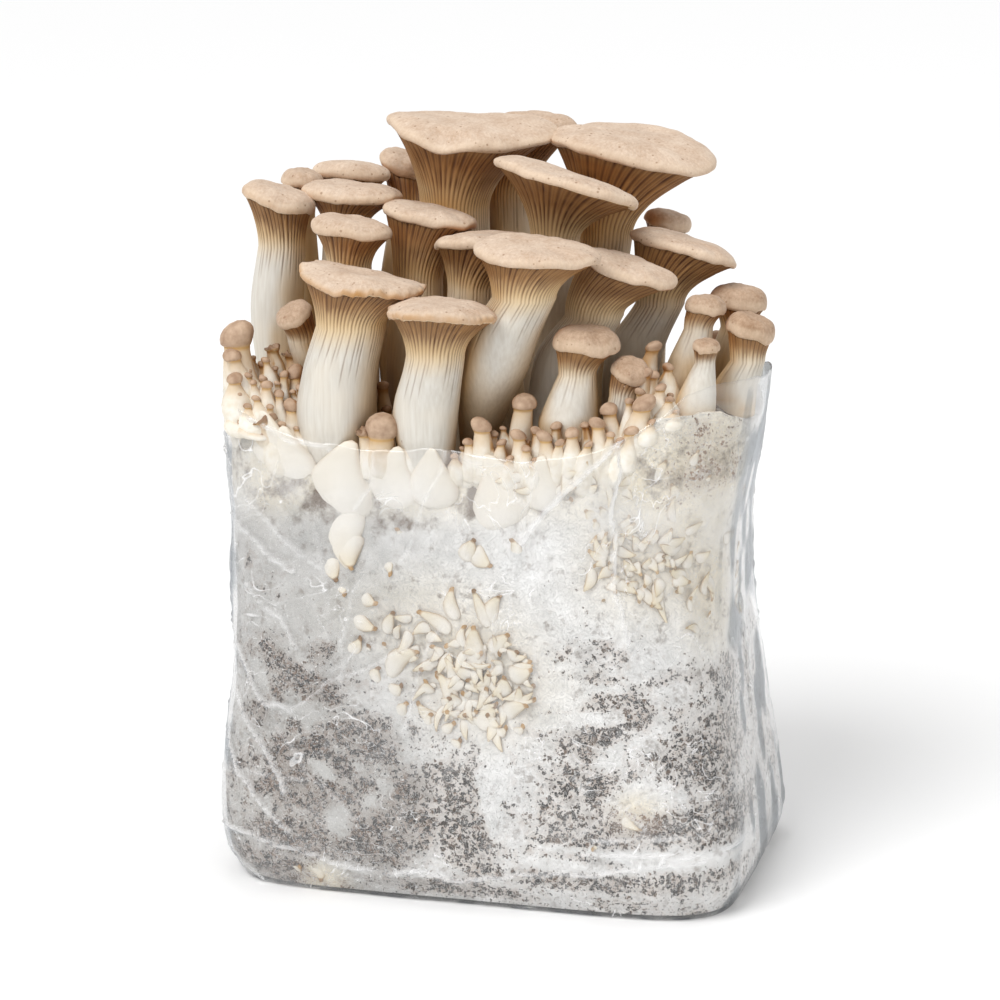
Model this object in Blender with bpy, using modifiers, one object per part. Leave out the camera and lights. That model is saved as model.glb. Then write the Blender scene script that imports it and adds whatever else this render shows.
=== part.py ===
"""A mushroom grow kit: king oyster mushrooms on a block of sawdust that still stands in its clear film bag.

Run it with blender --background --python part.py, or from Blender's text editor. The named sizes are in
millimetres and each mesh is made in metres, +Z up. The origin is on the floor, under the middle of the bag,
and -Y is the bag's wide front face.
"""

import math
from collections import namedtuple

import bmesh
import bpy
from mathutils import Vector

MM = 0.001

# The bag's outer form at each height: its reach to the left, right, front and back, and how square its left
# and right ends are
BAG_FORM = (
    (0, 97, 99, 63, 65, 6.0, 6.0),
    (10, 104, 106, 70, 70, 6.0, 6.0),
    (30, 106, 105, 70, 69, 6.0, 5.5),
    (55, 105, 101, 67, 67, 5.5, 5.0),
    (85, 102, 97, 64, 64, 5.0, 4.5),
    (115, 104, 94, 61, 60, 5.0, 4.0),
    (145, 103, 94, 57, 57, 5.5, 3.5),
    (172, 105, 99, 56, 57, 6.0, 2.9),
    (207, 106, 103, 56, 58, 6.0, 2.6),
)
BAG_FILM = 0.8
BAG_SIDES = 32

# The film's cut rim, as its height above the floor for each step round the bag from the right end
RIM_HEIGHTS = (
    201, 200, 199, 197, 194, 191, 188, 187, 186, 186, 187, 188, 190, 190, 190, 190,
    190, 191, 191, 191, 186, 179, 175, 177, 176, 175, 177, 185, 200, 204, 203, 202,
)

# The gap left between pieces that touch
GAP = 0.3

# The block's top: its level, and the heaps that mycelium and young mushrooms make of it
TOP_LEVEL = 150
FRONT_HEAP = 14
RIGHT_HEAP = 24
LEFT_HEAP = 28
CROWN = 5
EDGE_ROUND = 2

# How thick a cap's edge is on a wide cap and on a narrow one, and the width that parts them
EDGE_WIDE = 3.4
EDGE_NARROW = 2.6
WIDE_CAP = 28

# The widths from which a cap and its stem are made with more sides, and how many
SIDES = ((40, 12), (28, 10), (0, 8))

# How far a stem runs on below the block's top before the block is cut away from it
ROOT = 7

# A mushroom: its cap's centre, width and depth, the cap's lean to the right and to the back, its crown's
# height, its edge's wave and where that turns, and the stem's marks from the ground up: x, y, height, width
Mushroom = namedtuple("Mushroom", "centre width depth lean crown wave marks")

MUSHROOMS = (
    Mushroom((-92, 2, 258), 29, 26, (0.28, 0.05), 4.5, (0.6, 40),
             ((-90, 0, 178, 15), (-93, 1, 203, 19), (-93, 2, 222, 20), (-91, 2, 240, 17.5))),
    Mushroom((-90, 26, 261), 17, 16, (0.15, 0.00), 4.5, (0.3, 90),
             ((-84, 26, 166, 11), (-88, 26, 205, 12), (-89, 26, 247, 8))),
    Mushroom((-66, 15, 259), 40, 28, (0.05, 0.02), 3.6, (0.9, 60),
             ((-63, 15, 150, 15), (-70, 15, 200, 19), (-70, 16, 235, 17), (-69, 16, 246, 18))),
    Mushroom((-75, 43, 262), 32, 20, (0.02, 0.12), 4.2, (0.4, 10),
             ((-70, 38, 150, 13), (-74, 41, 205, 16), (-75, 42, 248, 14))),
    Mushroom((-58, 58, 264), 20, 18, (0.40, -0.20), 4.5, (0.4, 30),
             ((-54, 42, 150, 14), (-57, 44, 205, 15), (-56, 54, 244, 12))),
    Mushroom((-57, -16, 251), 32, 22, (0.10, 0.02), 3.8, (0.7, 80),
             ((-56, -8, 150, 14), (-58, -10, 195, 18), (-59, -14, 236, 17))),
    Mushroom((-46, -39, 236), 49, 34, (0.14, 0.02), 2.6, (1.3, 60),
             ((-57, -35, 154, 23), (-58, -37, 180, 31), (-56, -38, 200, 29), (-51, -39, 219, 26.5))),
    Mushroom((-77, -28, 219), 15, 14, (-0.50, -0.55), 3.5, (0.2, 0),
             ((-70, -13, 160, 13), (-72, -17, 188, 13), (-75.5, -23, 208, 11))),
    Mushroom((-32, 6, 253), 38, 24, (0.17, 0.06), 3.4, (0.9, 70),
             ((-38, 5, 150, 20), (-38, 5, 195, 23), (-37, 6, 228, 19))),
    Mushroom((-12, -54, 229), 41, 28, (0.02, 0.00), 3.0, (1.0, 130),
             ((-20, -42, 154, 17), (-21, -43, 181, 23.5), (-20, -44, 193, 24), (-15.5, -48, 211, 22))),
    Mushroom((-24, 30, 283), 68, 46, (0.05, -0.06), 4.6, (2.0, 20),
             ((-27, 36, 150, 19), (-29, 35, 205, 26), (-29.5, 33, 252, 25))),
    Mushroom((-3, 60, 281), 33, 19, (0.04, -0.05), 4.5, (0.5, 60),
             ((-8, 47, 150, 14), (-10, 48, 205, 18), (-11, 54, 255, 18))),
    Mushroom((-5, -9, 246), 44, 24, (0.02, 0.05), 4.0, (1.2, 150),
             ((-15, 0, 152, 16), (-15, -1, 195, 20), (-13, -5, 228, 18.5))),
    Mushroom((21, -36, 249), 49, 30, (0.06, -0.12), 3.8, (0.8, 95),
             ((-9, -17, 164, 10), (-4, -22, 184, 19), (1, -27, 201, 26), (7, -31, 218, 27),
              (15, -34, 232, 24))),
    Mushroom((49, -8, 239), 38, 27, (0.30, 0.05), 4.0, (0.8, 45),
             ((18, -5, 158, 18), (21, -5, 186, 23), (27, -7, 206, 25), (36, -8, 221, 22))),
    Mushroom((24, -2, 270), 58, 38, (0.28, 0.20), 3.6, (1.1, 75),
             ((10, 25, 156, 17), (11, 25, 205, 21), (15, 16, 244, 19))),
    Mushroom((40, 36, 278), 65, 44, (0.14, -0.10), 5.2, (1.7, 160),
             ((25, 38, 160, 16), (26, 38, 205, 19), (30, 36.5, 243, 21))),
    Mushroom((65, 20, 243), 43, 28, (0.26, 0.12), 3.6, (0.9, 100),
             ((41, 21, 164, 18), (45, 21, 200, 22), (55, 21, 221, 19))),
    Mushroom((52, 49, 247), 19, 16, (0.25, 0.05), 4.2, (0.3, 30),
             ((46, 46, 160, 10), (47, 46, 205, 12), (50, 48, 234, 9))),
    Mushroom((38, -31, 214), 26, 22, (0.03, 0.00), 7.2, (0.3, 0),
             ((31, -33, 162, 17), (32, -33, 183, 22), (33, -32, 191, 20), (35, -31, 203, 14))),
    Mushroom((55, -31, 205), 15, 14, (0.35, -0.40), 4.0, (0.2, 0),
             ((50, -33, 164, 11), (51, -33, 183, 11.5), (53, -32, 196, 11))),
    Mushroom((78, -4, 225), 16, 14, (0.05, 0.00), 4.4, (0.2, 0),
             ((69, -7, 184, 18), (71.5, -6, 201, 17), (75.5, -5, 217, 11))),
    Mushroom((86, 20, 223), 23, 20, (0.08, 0.00), 6.0, (0.2, 0),
             ((82, 19, 184, 18), (84, 20, 202, 17), (86, 20, 213, 13))),
    Mushroom((95, -4, 217), 19, 17, (0.32, 0.00), 6.4, (0.2, 0),
             ((88, -2, 184, 18), (90, -4, 196, 17), (94.5, -5, 206, 13.5))),
    Mushroom((82, -22, 214), 10.5, 10, (0.05, -0.05), 2.6, (0.1, 0),
             ((77, -25, 184, 17), (79, -24, 196, 14), (81.5, -22, 208, 7.5))),
)

# The young mushrooms, group by group: the cap's x, y and height, its width, and the foot's width
YOUNG = {
    "young_mushrooms_left": (
        (-95, -38, 212, 11.5, 12), (-96, -31, 205, 5.5, 11), (-88, -38, 196, 4, 11), (-85, -30, 204, 5.5, 12),
        (-78, -31, 196, 5, 10), (-82, -40, 190, 4, 11), (-85, -48, 184, 5, 10), (-91, -44, 190, 5, 10),
    ),
    "young_mushrooms_front_left": (
        (-36, -52, 183, 12, 10), (-40, -52, 174, 5, 8), (-45, -51, 177, 7, 13),
    ),
    "young_mushrooms_front_right": (
        (1, -51, 185, 7.5, 12), (9, -51, 180, 4.5, 12), (17, -51, 184, 6, 12), (25, -51, 185, 6, 11),
        (33, -51, 186, 5, 11), (41, -51, 186, 5.5, 11), (47, -50, 189, 6, 10), (17, -42, 192, 9, 12),
    ),
    "young_mushrooms_right": (
        (63, -45, 197, 7.5, 13), (67, -37, 207, 5, 13), (66, -29, 210, 5, 13), (62, -21, 214, 6, 13),
    ),
    "young_mushrooms_back": (
        (82, 36, 210, 9, 12), (74, 39, 206, 6, 12), (66, 43, 204, 5, 12), (90, 33, 203, 5, 10),
    ),
}

# How far in towards the middle a young mushroom's foot stands, as a share of the cap's own place
FOOT_IN = 0.94
YOUNG_SIDES = 5

CAP_TAN = (0.63, 0.49, 0.36)
STEM_WHITE = (0.83, 0.80, 0.74)
YOUNG_CREAM = (0.74, 0.63, 0.48)
BLOCK_GREY = (0.55, 0.52, 0.48)
FILM_CLEAR = (0.90, 0.91, 0.92)


def clear_scene():
    for old in list(bpy.data.objects):
        bpy.data.objects.remove(old, do_unlink=True)


def material(name, colour, roughness, alpha=1.0):
    made = bpy.data.materials.new(name)
    made.use_nodes = True
    shader = made.node_tree.nodes["Principled BSDF"]
    shader.inputs["Base Color"].default_value = (*colour, 1.0)
    shader.inputs["Roughness"].default_value = roughness
    shader.inputs["Metallic"].default_value = 0.0
    shader.inputs["Alpha"].default_value = alpha
    return made


def collection(name):
    made = bpy.data.collections.new(name)
    bpy.context.scene.collection.children.link(made)
    return made


def finish_object(name, bm, surface, home):
    """Makes an object from a closed mesh held in millimetres, shaded smooth."""
    bmesh.ops.remove_doubles(bm, verts=bm.verts, dist=1e-4)
    bmesh.ops.recalc_face_normals(bm, faces=bm.faces)
    bmesh.ops.triangulate(bm, faces=bm.faces, quad_method="FIXED")
    bmesh.ops.scale(bm, vec=(MM, MM, MM), verts=bm.verts)
    mesh = bpy.data.meshes.new(name)
    bm.to_mesh(mesh)
    bm.free()
    mesh.shade_smooth()
    made = bpy.data.objects.new(name, mesh)
    made.data.materials.append(surface)
    home.objects.link(made)
    return made


def turned(profile, sides):
    """A profile of (radius, height) points turned about Z."""
    bm = bmesh.new()
    points = [bm.verts.new((radius, 0, height)) for radius, height in profile]
    edges = [bm.edges.new(pair) for pair in zip(points, points[1:])]
    bmesh.ops.spin(bm, geom=points + edges, cent=(0, 0, 0), axis=(0, 0, 1), angle=math.tau, steps=sides,
                   use_merge=True)
    bmesh.ops.remove_doubles(bm, verts=bm.verts, dist=1e-4)
    return bm


def smooth_step(share):
    share = min(max(share, 0.0), 1.0)
    return share * share * (3 - 2 * share)


def form_at(height):
    """The bag's reaches and squareness at a height, between the rows of BAG_FORM."""
    for low, high in zip(BAG_FORM, BAG_FORM[1:]):
        if height <= high[0]:
            share = (height - low[0]) / (high[0] - low[0])
            return [a + (b - a) * share for a, b in zip(low[1:], high[1:])]
    return list(BAG_FORM[-1][1:])


def bag_point(step, height, inset=0.0):
    """A point of the bag's outline, so many steps round it from the right end, moved in by an inset."""
    left, right, front, back, square_left, square_right = form_at(height)
    angle = math.tau * step / BAG_SIDES
    across, along = math.cos(angle), math.sin(angle)
    square = square_right if across > 0 else square_left
    reach = (abs(across) ** square + abs(along) ** square) ** (-1 / square)
    wide = (right if across > 0 else left) - inset
    deep = (back if along > 0 else front) - inset
    return Vector((across * reach * wide, along * reach * deep, height))


def ground(x, y):
    """The height of the block's top."""
    front = FRONT_HEAP * max(smooth_step((x + 8) / 16), smooth_step((-34 - y) / 14))
    right = RIGHT_HEAP * smooth_step((x - 48) / 22)
    left = LEFT_HEAP * smooth_step((-x - 68) / 16) * smooth_step((24 - y) / 24)
    crown = CROWN * max(0.0, 1 - (x / 90) ** 2) * max(0.0, 1 - (y / 50) ** 2)
    return TOP_LEVEL + max(front, left) + right + crown


def bridge_rings(bm, rings):
    """Joins one ring of points to the next, from the bottom up."""
    for below, above in zip(rings, rings[1:]):
        for here in range(len(below)):
            after = (here + 1) % len(below)
            bm.faces.new((below[here], below[after], above[after], above[here]))


def ring_of(bm, points):
    return [bm.verts.new(point) for point in points]


def bag_ring(bm, heights, inset):
    """A ring of points on the bag's outline, each at its own height."""
    return ring_of(bm, [bag_point(step, height, inset) for step, height in enumerate(heights)])


def bag_film(home, surface):
    """The film: one open skin up to its cut rim, flat underneath, given its thickness outwards."""
    bm = bmesh.new()
    heights = [BAG_FILM] + [row[0] for row in BAG_FORM[1:-1]]
    rings = [bag_ring(bm, [height] * BAG_SIDES, BAG_FILM) for height in heights]
    rings.append(bag_ring(bm, RIM_HEIGHTS, BAG_FILM))
    bridge_rings(bm, rings)
    bm.faces.new(reversed(rings[0]))
    made = finish_object("bag_film", bm, surface, home)
    wall = made.modifiers.new("film", "SOLIDIFY")
    wall.thickness = BAG_FILM * MM
    wall.offset = 1.0
    wall.use_even_offset = True
    return made


def block(name, home, surface, grow=0.0):
    """The block of sawdust, which fills the film, with the heaps on its top."""
    bm = bmesh.new()
    inset = BAG_FILM + GAP
    heights = [inset] + [row[0] for row in BAG_FORM[1:-2]]
    rings = [bag_ring(bm, [height] * BAG_SIDES, inset - grow) for height in heights]
    edge = []
    for step in range(BAG_SIDES):
        wall = bag_point(step, heights[-1], inset)
        edge.append(bag_point(step, ground(wall.x, wall.y) - EDGE_ROUND, inset))
    bend = BAG_FORM[-2][0]
    rings.append(bag_ring(bm, [min(bend, point.z - 1) for point in edge], inset - grow))
    rings.append(bag_ring(bm, [point.z + grow for point in edge], inset - grow))
    for share in (0.94, 0.72, 0.48, 0.24):
        places = [(point.x * share, point.y * share) for point in edge]
        rings.append(ring_of(bm, [(x, y, ground(x, y) + grow) for x, y in places]))
    bridge_rings(bm, rings)
    bm.faces.new(reversed(rings[0]))
    middle = bm.verts.new((0, 0, ground(0, 0) + grow))
    last = rings[-1]
    for here in range(BAG_SIDES):
        bm.faces.new((last[here], last[(here + 1) % BAG_SIDES], middle))
    return finish_object(name, bm, surface, home)


def axes_of(normal):
    """Two directions square to a normal, the first as near to +X as can be."""
    across = (Vector((1, 0, 0)) - normal * normal.x).normalized()
    return across, normal.cross(across)


def cap_normal(lean):
    return Vector((lean[0], lean[1], 1)).normalized()


def edge_of(width):
    return EDGE_WIDE if width >= WIDE_CAP else EDGE_NARROW


def rim_shape(angle, wave):
    """How far a cap's edge is from round, as a share of its radius, and from flat, in millimetres."""
    lift, turn = wave
    bend = angle + math.radians(turn)
    return 1 + 0.03 * lift * math.sin(3 * bend), lift * math.sin(2 * bend)


def on_cap(centre, normal, width, depth, wave, angle, share, rise):
    """A point of a cap or the gills under it: a share of the way out to its edge, and a rise off its plane."""
    across, along = axes_of(normal)
    spread, lift = rim_shape(angle, wave)
    out = across * math.cos(angle) * width / 2 + along * math.sin(angle) * depth / 2
    return centre + out * share * spread + normal * (rise + lift * share * share)


def sides_for(width):
    return next(sides for least, sides in SIDES if width >= least)


def cap(name, mushroom, home, surface):
    """A cap: a thick-edged disc with a low crown, leaning and waved, flat underneath where the gills meet it."""
    centre, width, depth, lean, crown, wave, _ = mushroom
    edge = edge_of(width)
    under = -edge / 2
    top = ((0.93, edge * 0.6), (0.55, crown), (0, crown * 0.85))
    profile = ((0, under), (0.88, under), (1.0, 0)) + top
    bm = turned(profile, sides_for(width))
    for vert in bm.verts:
        share = math.hypot(vert.co.x, vert.co.y)
        angle = math.atan2(vert.co.y, vert.co.x)
        vert.co = on_cap(Vector(centre), cap_normal(lean), width, depth, wave, angle, share, vert.co.z)
    return finish_object(name, bm, surface, home)


def stem(name, mushroom, home, surface, block_cutter):
    """A stem: its marks joined from the ground up, then the gills' flare out to the cap's underside."""
    centre, width, depth, lean, _, wave, marks = mushroom
    centre = Vector(centre)
    normal = cap_normal(lean)
    first = marks[0]
    root = (first[0], first[1], ground(first[0], first[1]) - ROOT, first[3])
    rows = [root] + [mark for mark in marks if mark[2] > root[2] + ROOT]
    neck = rows[-1]
    flare = (0.45, 0.8, 1.0) if width >= SIDES[0][0] else (0.65, 1.0)
    count = len(rows) + len(flare)
    profile = [(0, 0)] + [(1, row) for row in range(count)] + [(0, count - 1)]
    bm = turned(profile, sides_for(width))
    lip = 0.86
    drop = -edge_of(width) / 2 - GAP
    neck_point = Vector(neck[:3])
    for vert in bm.verts:
        row = round(vert.co.z)
        share = math.hypot(vert.co.x, vert.co.y)
        angle = math.atan2(vert.co.y, vert.co.x)
        if row < len(rows):
            x, y, height, thick = rows[row]
            vert.co = (x + share * math.cos(angle) * thick / 2, y + share * math.sin(angle) * thick / 2, height)
            continue
        up = flare[row - len(rows)]
        plain = neck_point + Vector((math.cos(angle), math.sin(angle), 0)) * neck[3] / 2 * share
        lipped = on_cap(centre, normal, width, depth, wave, angle, lip * share, drop)
        spread = up ** 1.9
        vert.co = plain.lerp(lipped, spread)
        rise = plain.z + (lipped.z - plain.z) * up
        vert.co.z = rise
    made = finish_object(name, bm, surface, home)
    cut = made.modifiers.new("foot on the block", "BOOLEAN")
    cut.operation = "DIFFERENCE"
    cut.object = block_cutter
    return made


def young_mushroom(name, place, home, surface):
    """One young mushroom: a pear-shaped foot, a narrow neck and a button cap."""
    x, y, height, cap_width, foot_width = place
    floor = ground(x * FOOT_IN, y * FOOT_IN) - ROOT / 2
    tall = height - floor
    profile = (
        (0, 0), (foot_width * 0.5, 0), (cap_width * 0.3, tall - cap_width * 0.42),
        (cap_width * 0.5, tall - cap_width * 0.2), (cap_width * 0.34, tall + cap_width * 0.16),
        (0, tall + cap_width * 0.24),
    )
    bm = turned(profile, YOUNG_SIDES)
    for vert in bm.verts:
        out = FOOT_IN + (1 - FOOT_IN) * vert.co.z / tall
        vert.co += Vector((x * out, y * out, floor))
    return finish_object(name, bm, surface, home)


def young_group(name, places, home, cutters, surface, block_cutter):
    """A group of young mushrooms, grown together at the foot and standing on the block."""
    first = young_mushroom(name, places[0], home, surface)
    for number, place in enumerate(places[1:], 1):
        other = young_mushroom(f"{name}_{number}", place, cutters, surface)
        other.hide_render = True
        other.display_type = "WIRE"
        join = first.modifiers.new("grown together", "BOOLEAN")
        join.operation = "UNION"
        join.object = other
    cut = first.modifiers.new("foot on the block", "BOOLEAN")
    cut.operation = "DIFFERENCE"
    cut.object = block_cutter
    return first


def build():
    clear_scene()
    parts = collection("mushroom_grow_kit")
    cutters = collection("cutters")
    cap_skin = material("cap_skin", CAP_TAN, 0.62)
    stem_flesh = material("stem_flesh", STEM_WHITE, 0.55)
    young_flesh = material("young_flesh", YOUNG_CREAM, 0.6)
    sawdust = material("colonised_sawdust", BLOCK_GREY, 0.85)
    film = material("clear_film", FILM_CLEAR, 0.15, alpha=0.3)
    bag_film(parts, film)
    block("substrate_block", parts, sawdust)
    block_cutter = block("block_cutter", cutters, sawdust, grow=GAP)
    block_cutter.hide_render = True
    block_cutter.display_type = "WIRE"
    for number, mushroom in enumerate(MUSHROOMS, 1):
        cap(f"cap_{number:02}", mushroom, parts, cap_skin)
        stem(f"stem_{number:02}", mushroom, parts, stem_flesh, block_cutter)
    for name, places in YOUNG.items():
        young_group(name, places, parts, cutters, young_flesh, block_cutter)


build()
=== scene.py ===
"""The looks of a king oyster mushroom grow kit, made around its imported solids.

Each piece is modelled in millimetres from the same named sizes as the solids, and turned to metres when it is
finished. +Z is up, -Y is the bag's wide front, and the origin is on the floor under the middle of the bag.
"""

import math
from collections import namedtuple
from itertools import product

import bmesh
import bpy
import numpy as np
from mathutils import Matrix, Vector
from mathutils.bvhtree import BVHTree


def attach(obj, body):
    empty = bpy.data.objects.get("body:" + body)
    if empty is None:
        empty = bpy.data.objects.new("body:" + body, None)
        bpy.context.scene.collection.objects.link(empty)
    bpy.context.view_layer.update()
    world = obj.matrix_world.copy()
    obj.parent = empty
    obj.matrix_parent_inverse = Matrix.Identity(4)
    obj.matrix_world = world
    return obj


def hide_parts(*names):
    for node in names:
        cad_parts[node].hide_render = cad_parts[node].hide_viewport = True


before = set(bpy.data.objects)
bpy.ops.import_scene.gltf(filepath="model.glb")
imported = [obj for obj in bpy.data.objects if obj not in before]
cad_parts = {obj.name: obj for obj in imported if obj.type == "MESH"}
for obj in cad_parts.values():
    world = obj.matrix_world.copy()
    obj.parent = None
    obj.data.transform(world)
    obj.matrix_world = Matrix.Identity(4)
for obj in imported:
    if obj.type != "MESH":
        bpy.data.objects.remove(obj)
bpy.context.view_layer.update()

MM = 0.001
BODY = "root"


# The camera
# A long lens about 1.4 m away, a little to the right of the bag's front and 15 degrees above it, so that the bag's
# upright edges stay nearly parallel and the caps show a little of their tops.

VIEW_TURN = math.radians(14.3)
VIEW_RISE = math.radians(15)
VIEW_REACH = 1400 * MM
VIEW_TARGET = Vector((-4.7, 6.5, 141.9)) * MM
LENS = 128.8
SENSOR = 36

back = Vector((math.sin(VIEW_TURN) * math.cos(VIEW_RISE), -math.cos(VIEW_TURN) * math.cos(VIEW_RISE),
               math.sin(VIEW_RISE)))
camera = bpy.data.objects.new("camera", bpy.data.cameras.new("camera"))
camera.data.lens = LENS
camera.data.sensor_width = SENSOR
camera.data.clip_end = 20
camera.location = VIEW_TARGET + back * VIEW_REACH
camera.rotation_euler = (-back).to_track_quat("-Z", "Y").to_euler()
bpy.context.scene.collection.objects.link(camera)
bpy.context.scene.camera = camera


# The studio
# A matte white paper floor under large softboxes, the strongest above and to the left of the camera, in a white room.

FLOOR_SIZE = 14.0
ROOM_LIGHT = 0.58
KEY_FROM = (-0.48, -0.90, 1.15)
KEY_STRENGTH = 1.9
KEY_SPREAD = math.radians(34)
SOFTBOXES = (
    ("fill_softbox", (1.30, -1.20, 0.60), 0.9, 2),
    ("top_softbox", (0.00, 0.30, 1.70), 0.9, 5),
)


def paint(colour):
    """A colour written as sRGB hex, as the linear values that Blender mixes."""
    parts = [int(colour[at:at + 2], 16) / 255 for at in (1, 3, 5)]
    return (*[part / 12.92 if part <= 0.04045 else ((part + 0.055) / 1.055) ** 2.4 for part in parts], 1.0)


def add(tree, kind, feeds=(), stops=(), **settings):
    """Adds a shader node. Each feed is a value, a colour, or a node or socket to link, by name or in order."""
    node = tree.nodes.new(kind)
    for name, value in settings.items():
        setattr(node, name, value)
    for name, feed in feeds.items() if isinstance(feeds, dict) else enumerate(feeds):
        if isinstance(feed, bpy.types.Node):
            feed = feed.outputs[0]
        if isinstance(feed, bpy.types.NodeSocket):
            tree.links.new(feed, node.inputs[name])
        else:
            node.inputs[name].default_value = paint(feed) if isinstance(feed, str) else feed
    for number, (place, colour) in enumerate(stops):
        if number < 2:
            node.color_ramp.elements[number].position = place
            node.color_ramp.elements[number].color = paint(colour)
        else:
            node.color_ramp.elements.new(place).color = paint(colour)
    return node


def new_material(name):
    """A material with only its output."""
    made = bpy.data.materials.new(name)
    made.use_nodes = True
    made.node_tree.nodes.clear()
    return made, made.node_tree, add(made.node_tree, "ShaderNodeOutputMaterial")


# Studio paper: matte white card with no grain at this distance
studio_paper, tree, output = new_material("studio_paper")
paper = add(tree, "ShaderNodeBsdfPrincipled", {"Base Color": "#FAFAFA", "Roughness": 0.95})
tree.links.new(paper.outputs["BSDF"], output.inputs["Surface"])

bm = bmesh.new()
bmesh.ops.create_grid(bm, x_segments=1, y_segments=1, size=FLOOR_SIZE / 2)
floor_mesh = bpy.data.meshes.new("floor")
bm.to_mesh(floor_mesh)
bm.free()
floor = bpy.data.objects.new("floor", floor_mesh)
floor.data.materials.append(studio_paper)
bpy.context.scene.collection.objects.link(floor)

key = bpy.data.objects.new("key_light", bpy.data.lights.new("key_light", "SUN"))
key.data.energy = KEY_STRENGTH
key.data.angle = KEY_SPREAD
key.rotation_euler = Vector(KEY_FROM).to_track_quat("Z", "Y").to_euler()
bpy.context.scene.collection.objects.link(key)

for name, place, size, power in SOFTBOXES:
    lamp = bpy.data.lights.new(name, "AREA")
    lamp.shape = "SQUARE"
    lamp.size = size
    lamp.energy = power
    softbox = bpy.data.objects.new(name, lamp)
    softbox.location = place
    softbox.rotation_euler = (Vector(place) - VIEW_TARGET).to_track_quat("Z", "Y").to_euler()
    bpy.context.scene.collection.objects.link(softbox)

room = bpy.data.worlds.new("white_room")
room.use_nodes = True
room.node_tree.nodes["Background"].inputs["Color"].default_value = paint("#FFFFFF")
room.node_tree.nodes["Background"].inputs["Strength"].default_value = ROOM_LIGHT
bpy.context.scene.world = room
bpy.context.scene.view_settings.view_transform = "Standard"


# The substrate block
# Moist hardwood sawdust and bran, packed into the bag and knitted together by white mycelium. The mycelium lies thick
# over the upper half. Lower down the brown sawdust shows through it as dark pores and pale slivers of wood.

# The bag's outer form at each height: its reach to the left, right, front and back, and how square its ends are
BAG_FORM = np.array((
    (0, 97, 99, 63, 65, 6.0, 6.0),
    (10, 104, 106, 70, 70, 6.0, 6.0),
    (30, 106, 105, 70, 69, 6.0, 5.5),
    (55, 105, 101, 67, 67, 5.5, 5.0),
    (85, 102, 97, 64, 64, 5.0, 4.5),
    (115, 104, 94, 61, 60, 5.0, 4.0),
    (145, 103, 94, 57, 57, 5.5, 3.5),
    (172, 105, 99, 56, 57, 6.0, 2.9),
    (207, 106, 103, 56, 58, 6.0, 2.6),
), float)
# How far up and down the bends between those rows are blurred
FORM_BLUR = 6
# How far inside the bag's outer form the block's wall stands, how high its foot is, how high the two rings of the
# foot's rounded edge are above that, and how many points it has round it, up its wall and over its top
BLOCK_INSET = 1.3
BLOCK_FOOT = 1.6
FOOT_ROUND = (0.4, 1.2)
BLOCK_SIDES = 440
BLOCK_ROWS = 104
BLOCK_TOP_ROWS = 20
# The block's top: its level, how much higher it is heaped at the front, the right end and the left end, how much its
# middle is crowned, and how far its edge rounds down
TOP_LEVEL = 150
FRONT_HEAP = 14
RIGHT_HEAP = 24
LEFT_HEAP = 28
CROWN = 5
EDGE_ROUND = 5
# How far the felt climbs up the film above the block's edge
CLIMB = 6
# The felt is sunk a little all over, and waved: each wave's depth, the width of its lumps, and its seed
FELT_SINK = 0.9
FELT_WAVES = ((0.9, 22, 3), (0.7, 8, 4), (0.35, 3.5, 5))
TOP_WAVES = ((1.6, 7, 6), (0.8, 3, 7))
# How thick the mycelium lies low down, how much thicker it is above, where that starts, and over what height
LOW_COVER = 0.46
HIGH_COVER = 0.66
COVER_FROM = 84
COVER_OVER = 40
COVER_WAVES = ((0.18, 24, 8),)


def smooth_step(share):
    """A share eased at both ends, and kept from 0 to 1."""
    share = np.clip(share, 0, 1)
    return share * share * (3 - 2 * share)


def drift(points, size, seed):
    """Smooth noise from -1 to 1 at points in millimetres, with lumps about as wide as a size."""
    draw = np.random.default_rng(seed)
    order = draw.permutation(256)
    levels = draw.uniform(-1, 1, 256)
    cell = np.asarray(points, float) / size
    low = np.floor(cell).astype(int)
    part = smooth_step(cell - low)
    total = 0
    for corner in product((0, 1), repeat=3):
        x, y, z = np.moveaxis(low + corner, -1, 0)
        level = levels[order[(order[(order[x & 255] + y) & 255] + z) & 255]]
        total = total + level * np.prod(np.where(corner, part, 1 - part), axis=-1)
    return total


def waves(points, rows, level=0.0):
    """A level with several drifts on it, each with its depth, the width of its lumps, and its seed."""
    return sum((depth * drift(points, size, seed) for depth, size, seed in rows), level)


def form_at(height):
    """The bag's reaches and squareness at each height, with the bends between the rows blurred a little."""
    nearby = [np.asarray(height, float) + shift for shift in (-FORM_BLUR, 0, FORM_BLUR)]
    return [sum(np.interp(near, BAG_FORM[:, 0], column) * share for near, share in zip(nearby, (0.25, 0.5, 0.25)))
            for column in BAG_FORM[:, 1:].T]


def bag_outline(angle, height, inset=0.0):
    """The bag's outline in plan at each height, as x and y, moved in by an inset."""
    left, right, front, rear, square_left, square_right = form_at(height)
    across, along = np.cos(angle), np.sin(angle)
    square = np.where(across > 0, square_right, square_left)
    reach = (np.abs(across) ** square + np.abs(along) ** square) ** (-1 / square)
    wide = np.where(across > 0, right, left) - inset
    deep = np.where(along > 0, rear, front) - inset
    return across * reach * wide, along * reach * deep


def walk_round():
    """The way walked round the bag's outline at each angle, as (angles, millimetres)."""
    angles = np.linspace(0, math.tau, 4001)
    x, y = bag_outline(angles, 100)
    return angles, np.concatenate(([0], np.cumsum(np.hypot(np.diff(x), np.diff(y)))))


WALK_ANGLES, WALKED = walk_round()
GIRTH = WALKED[-1]
FRONT_ANGLE = 1.5 * math.pi
FRONT_WAY = GIRTH * 0.75


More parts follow.
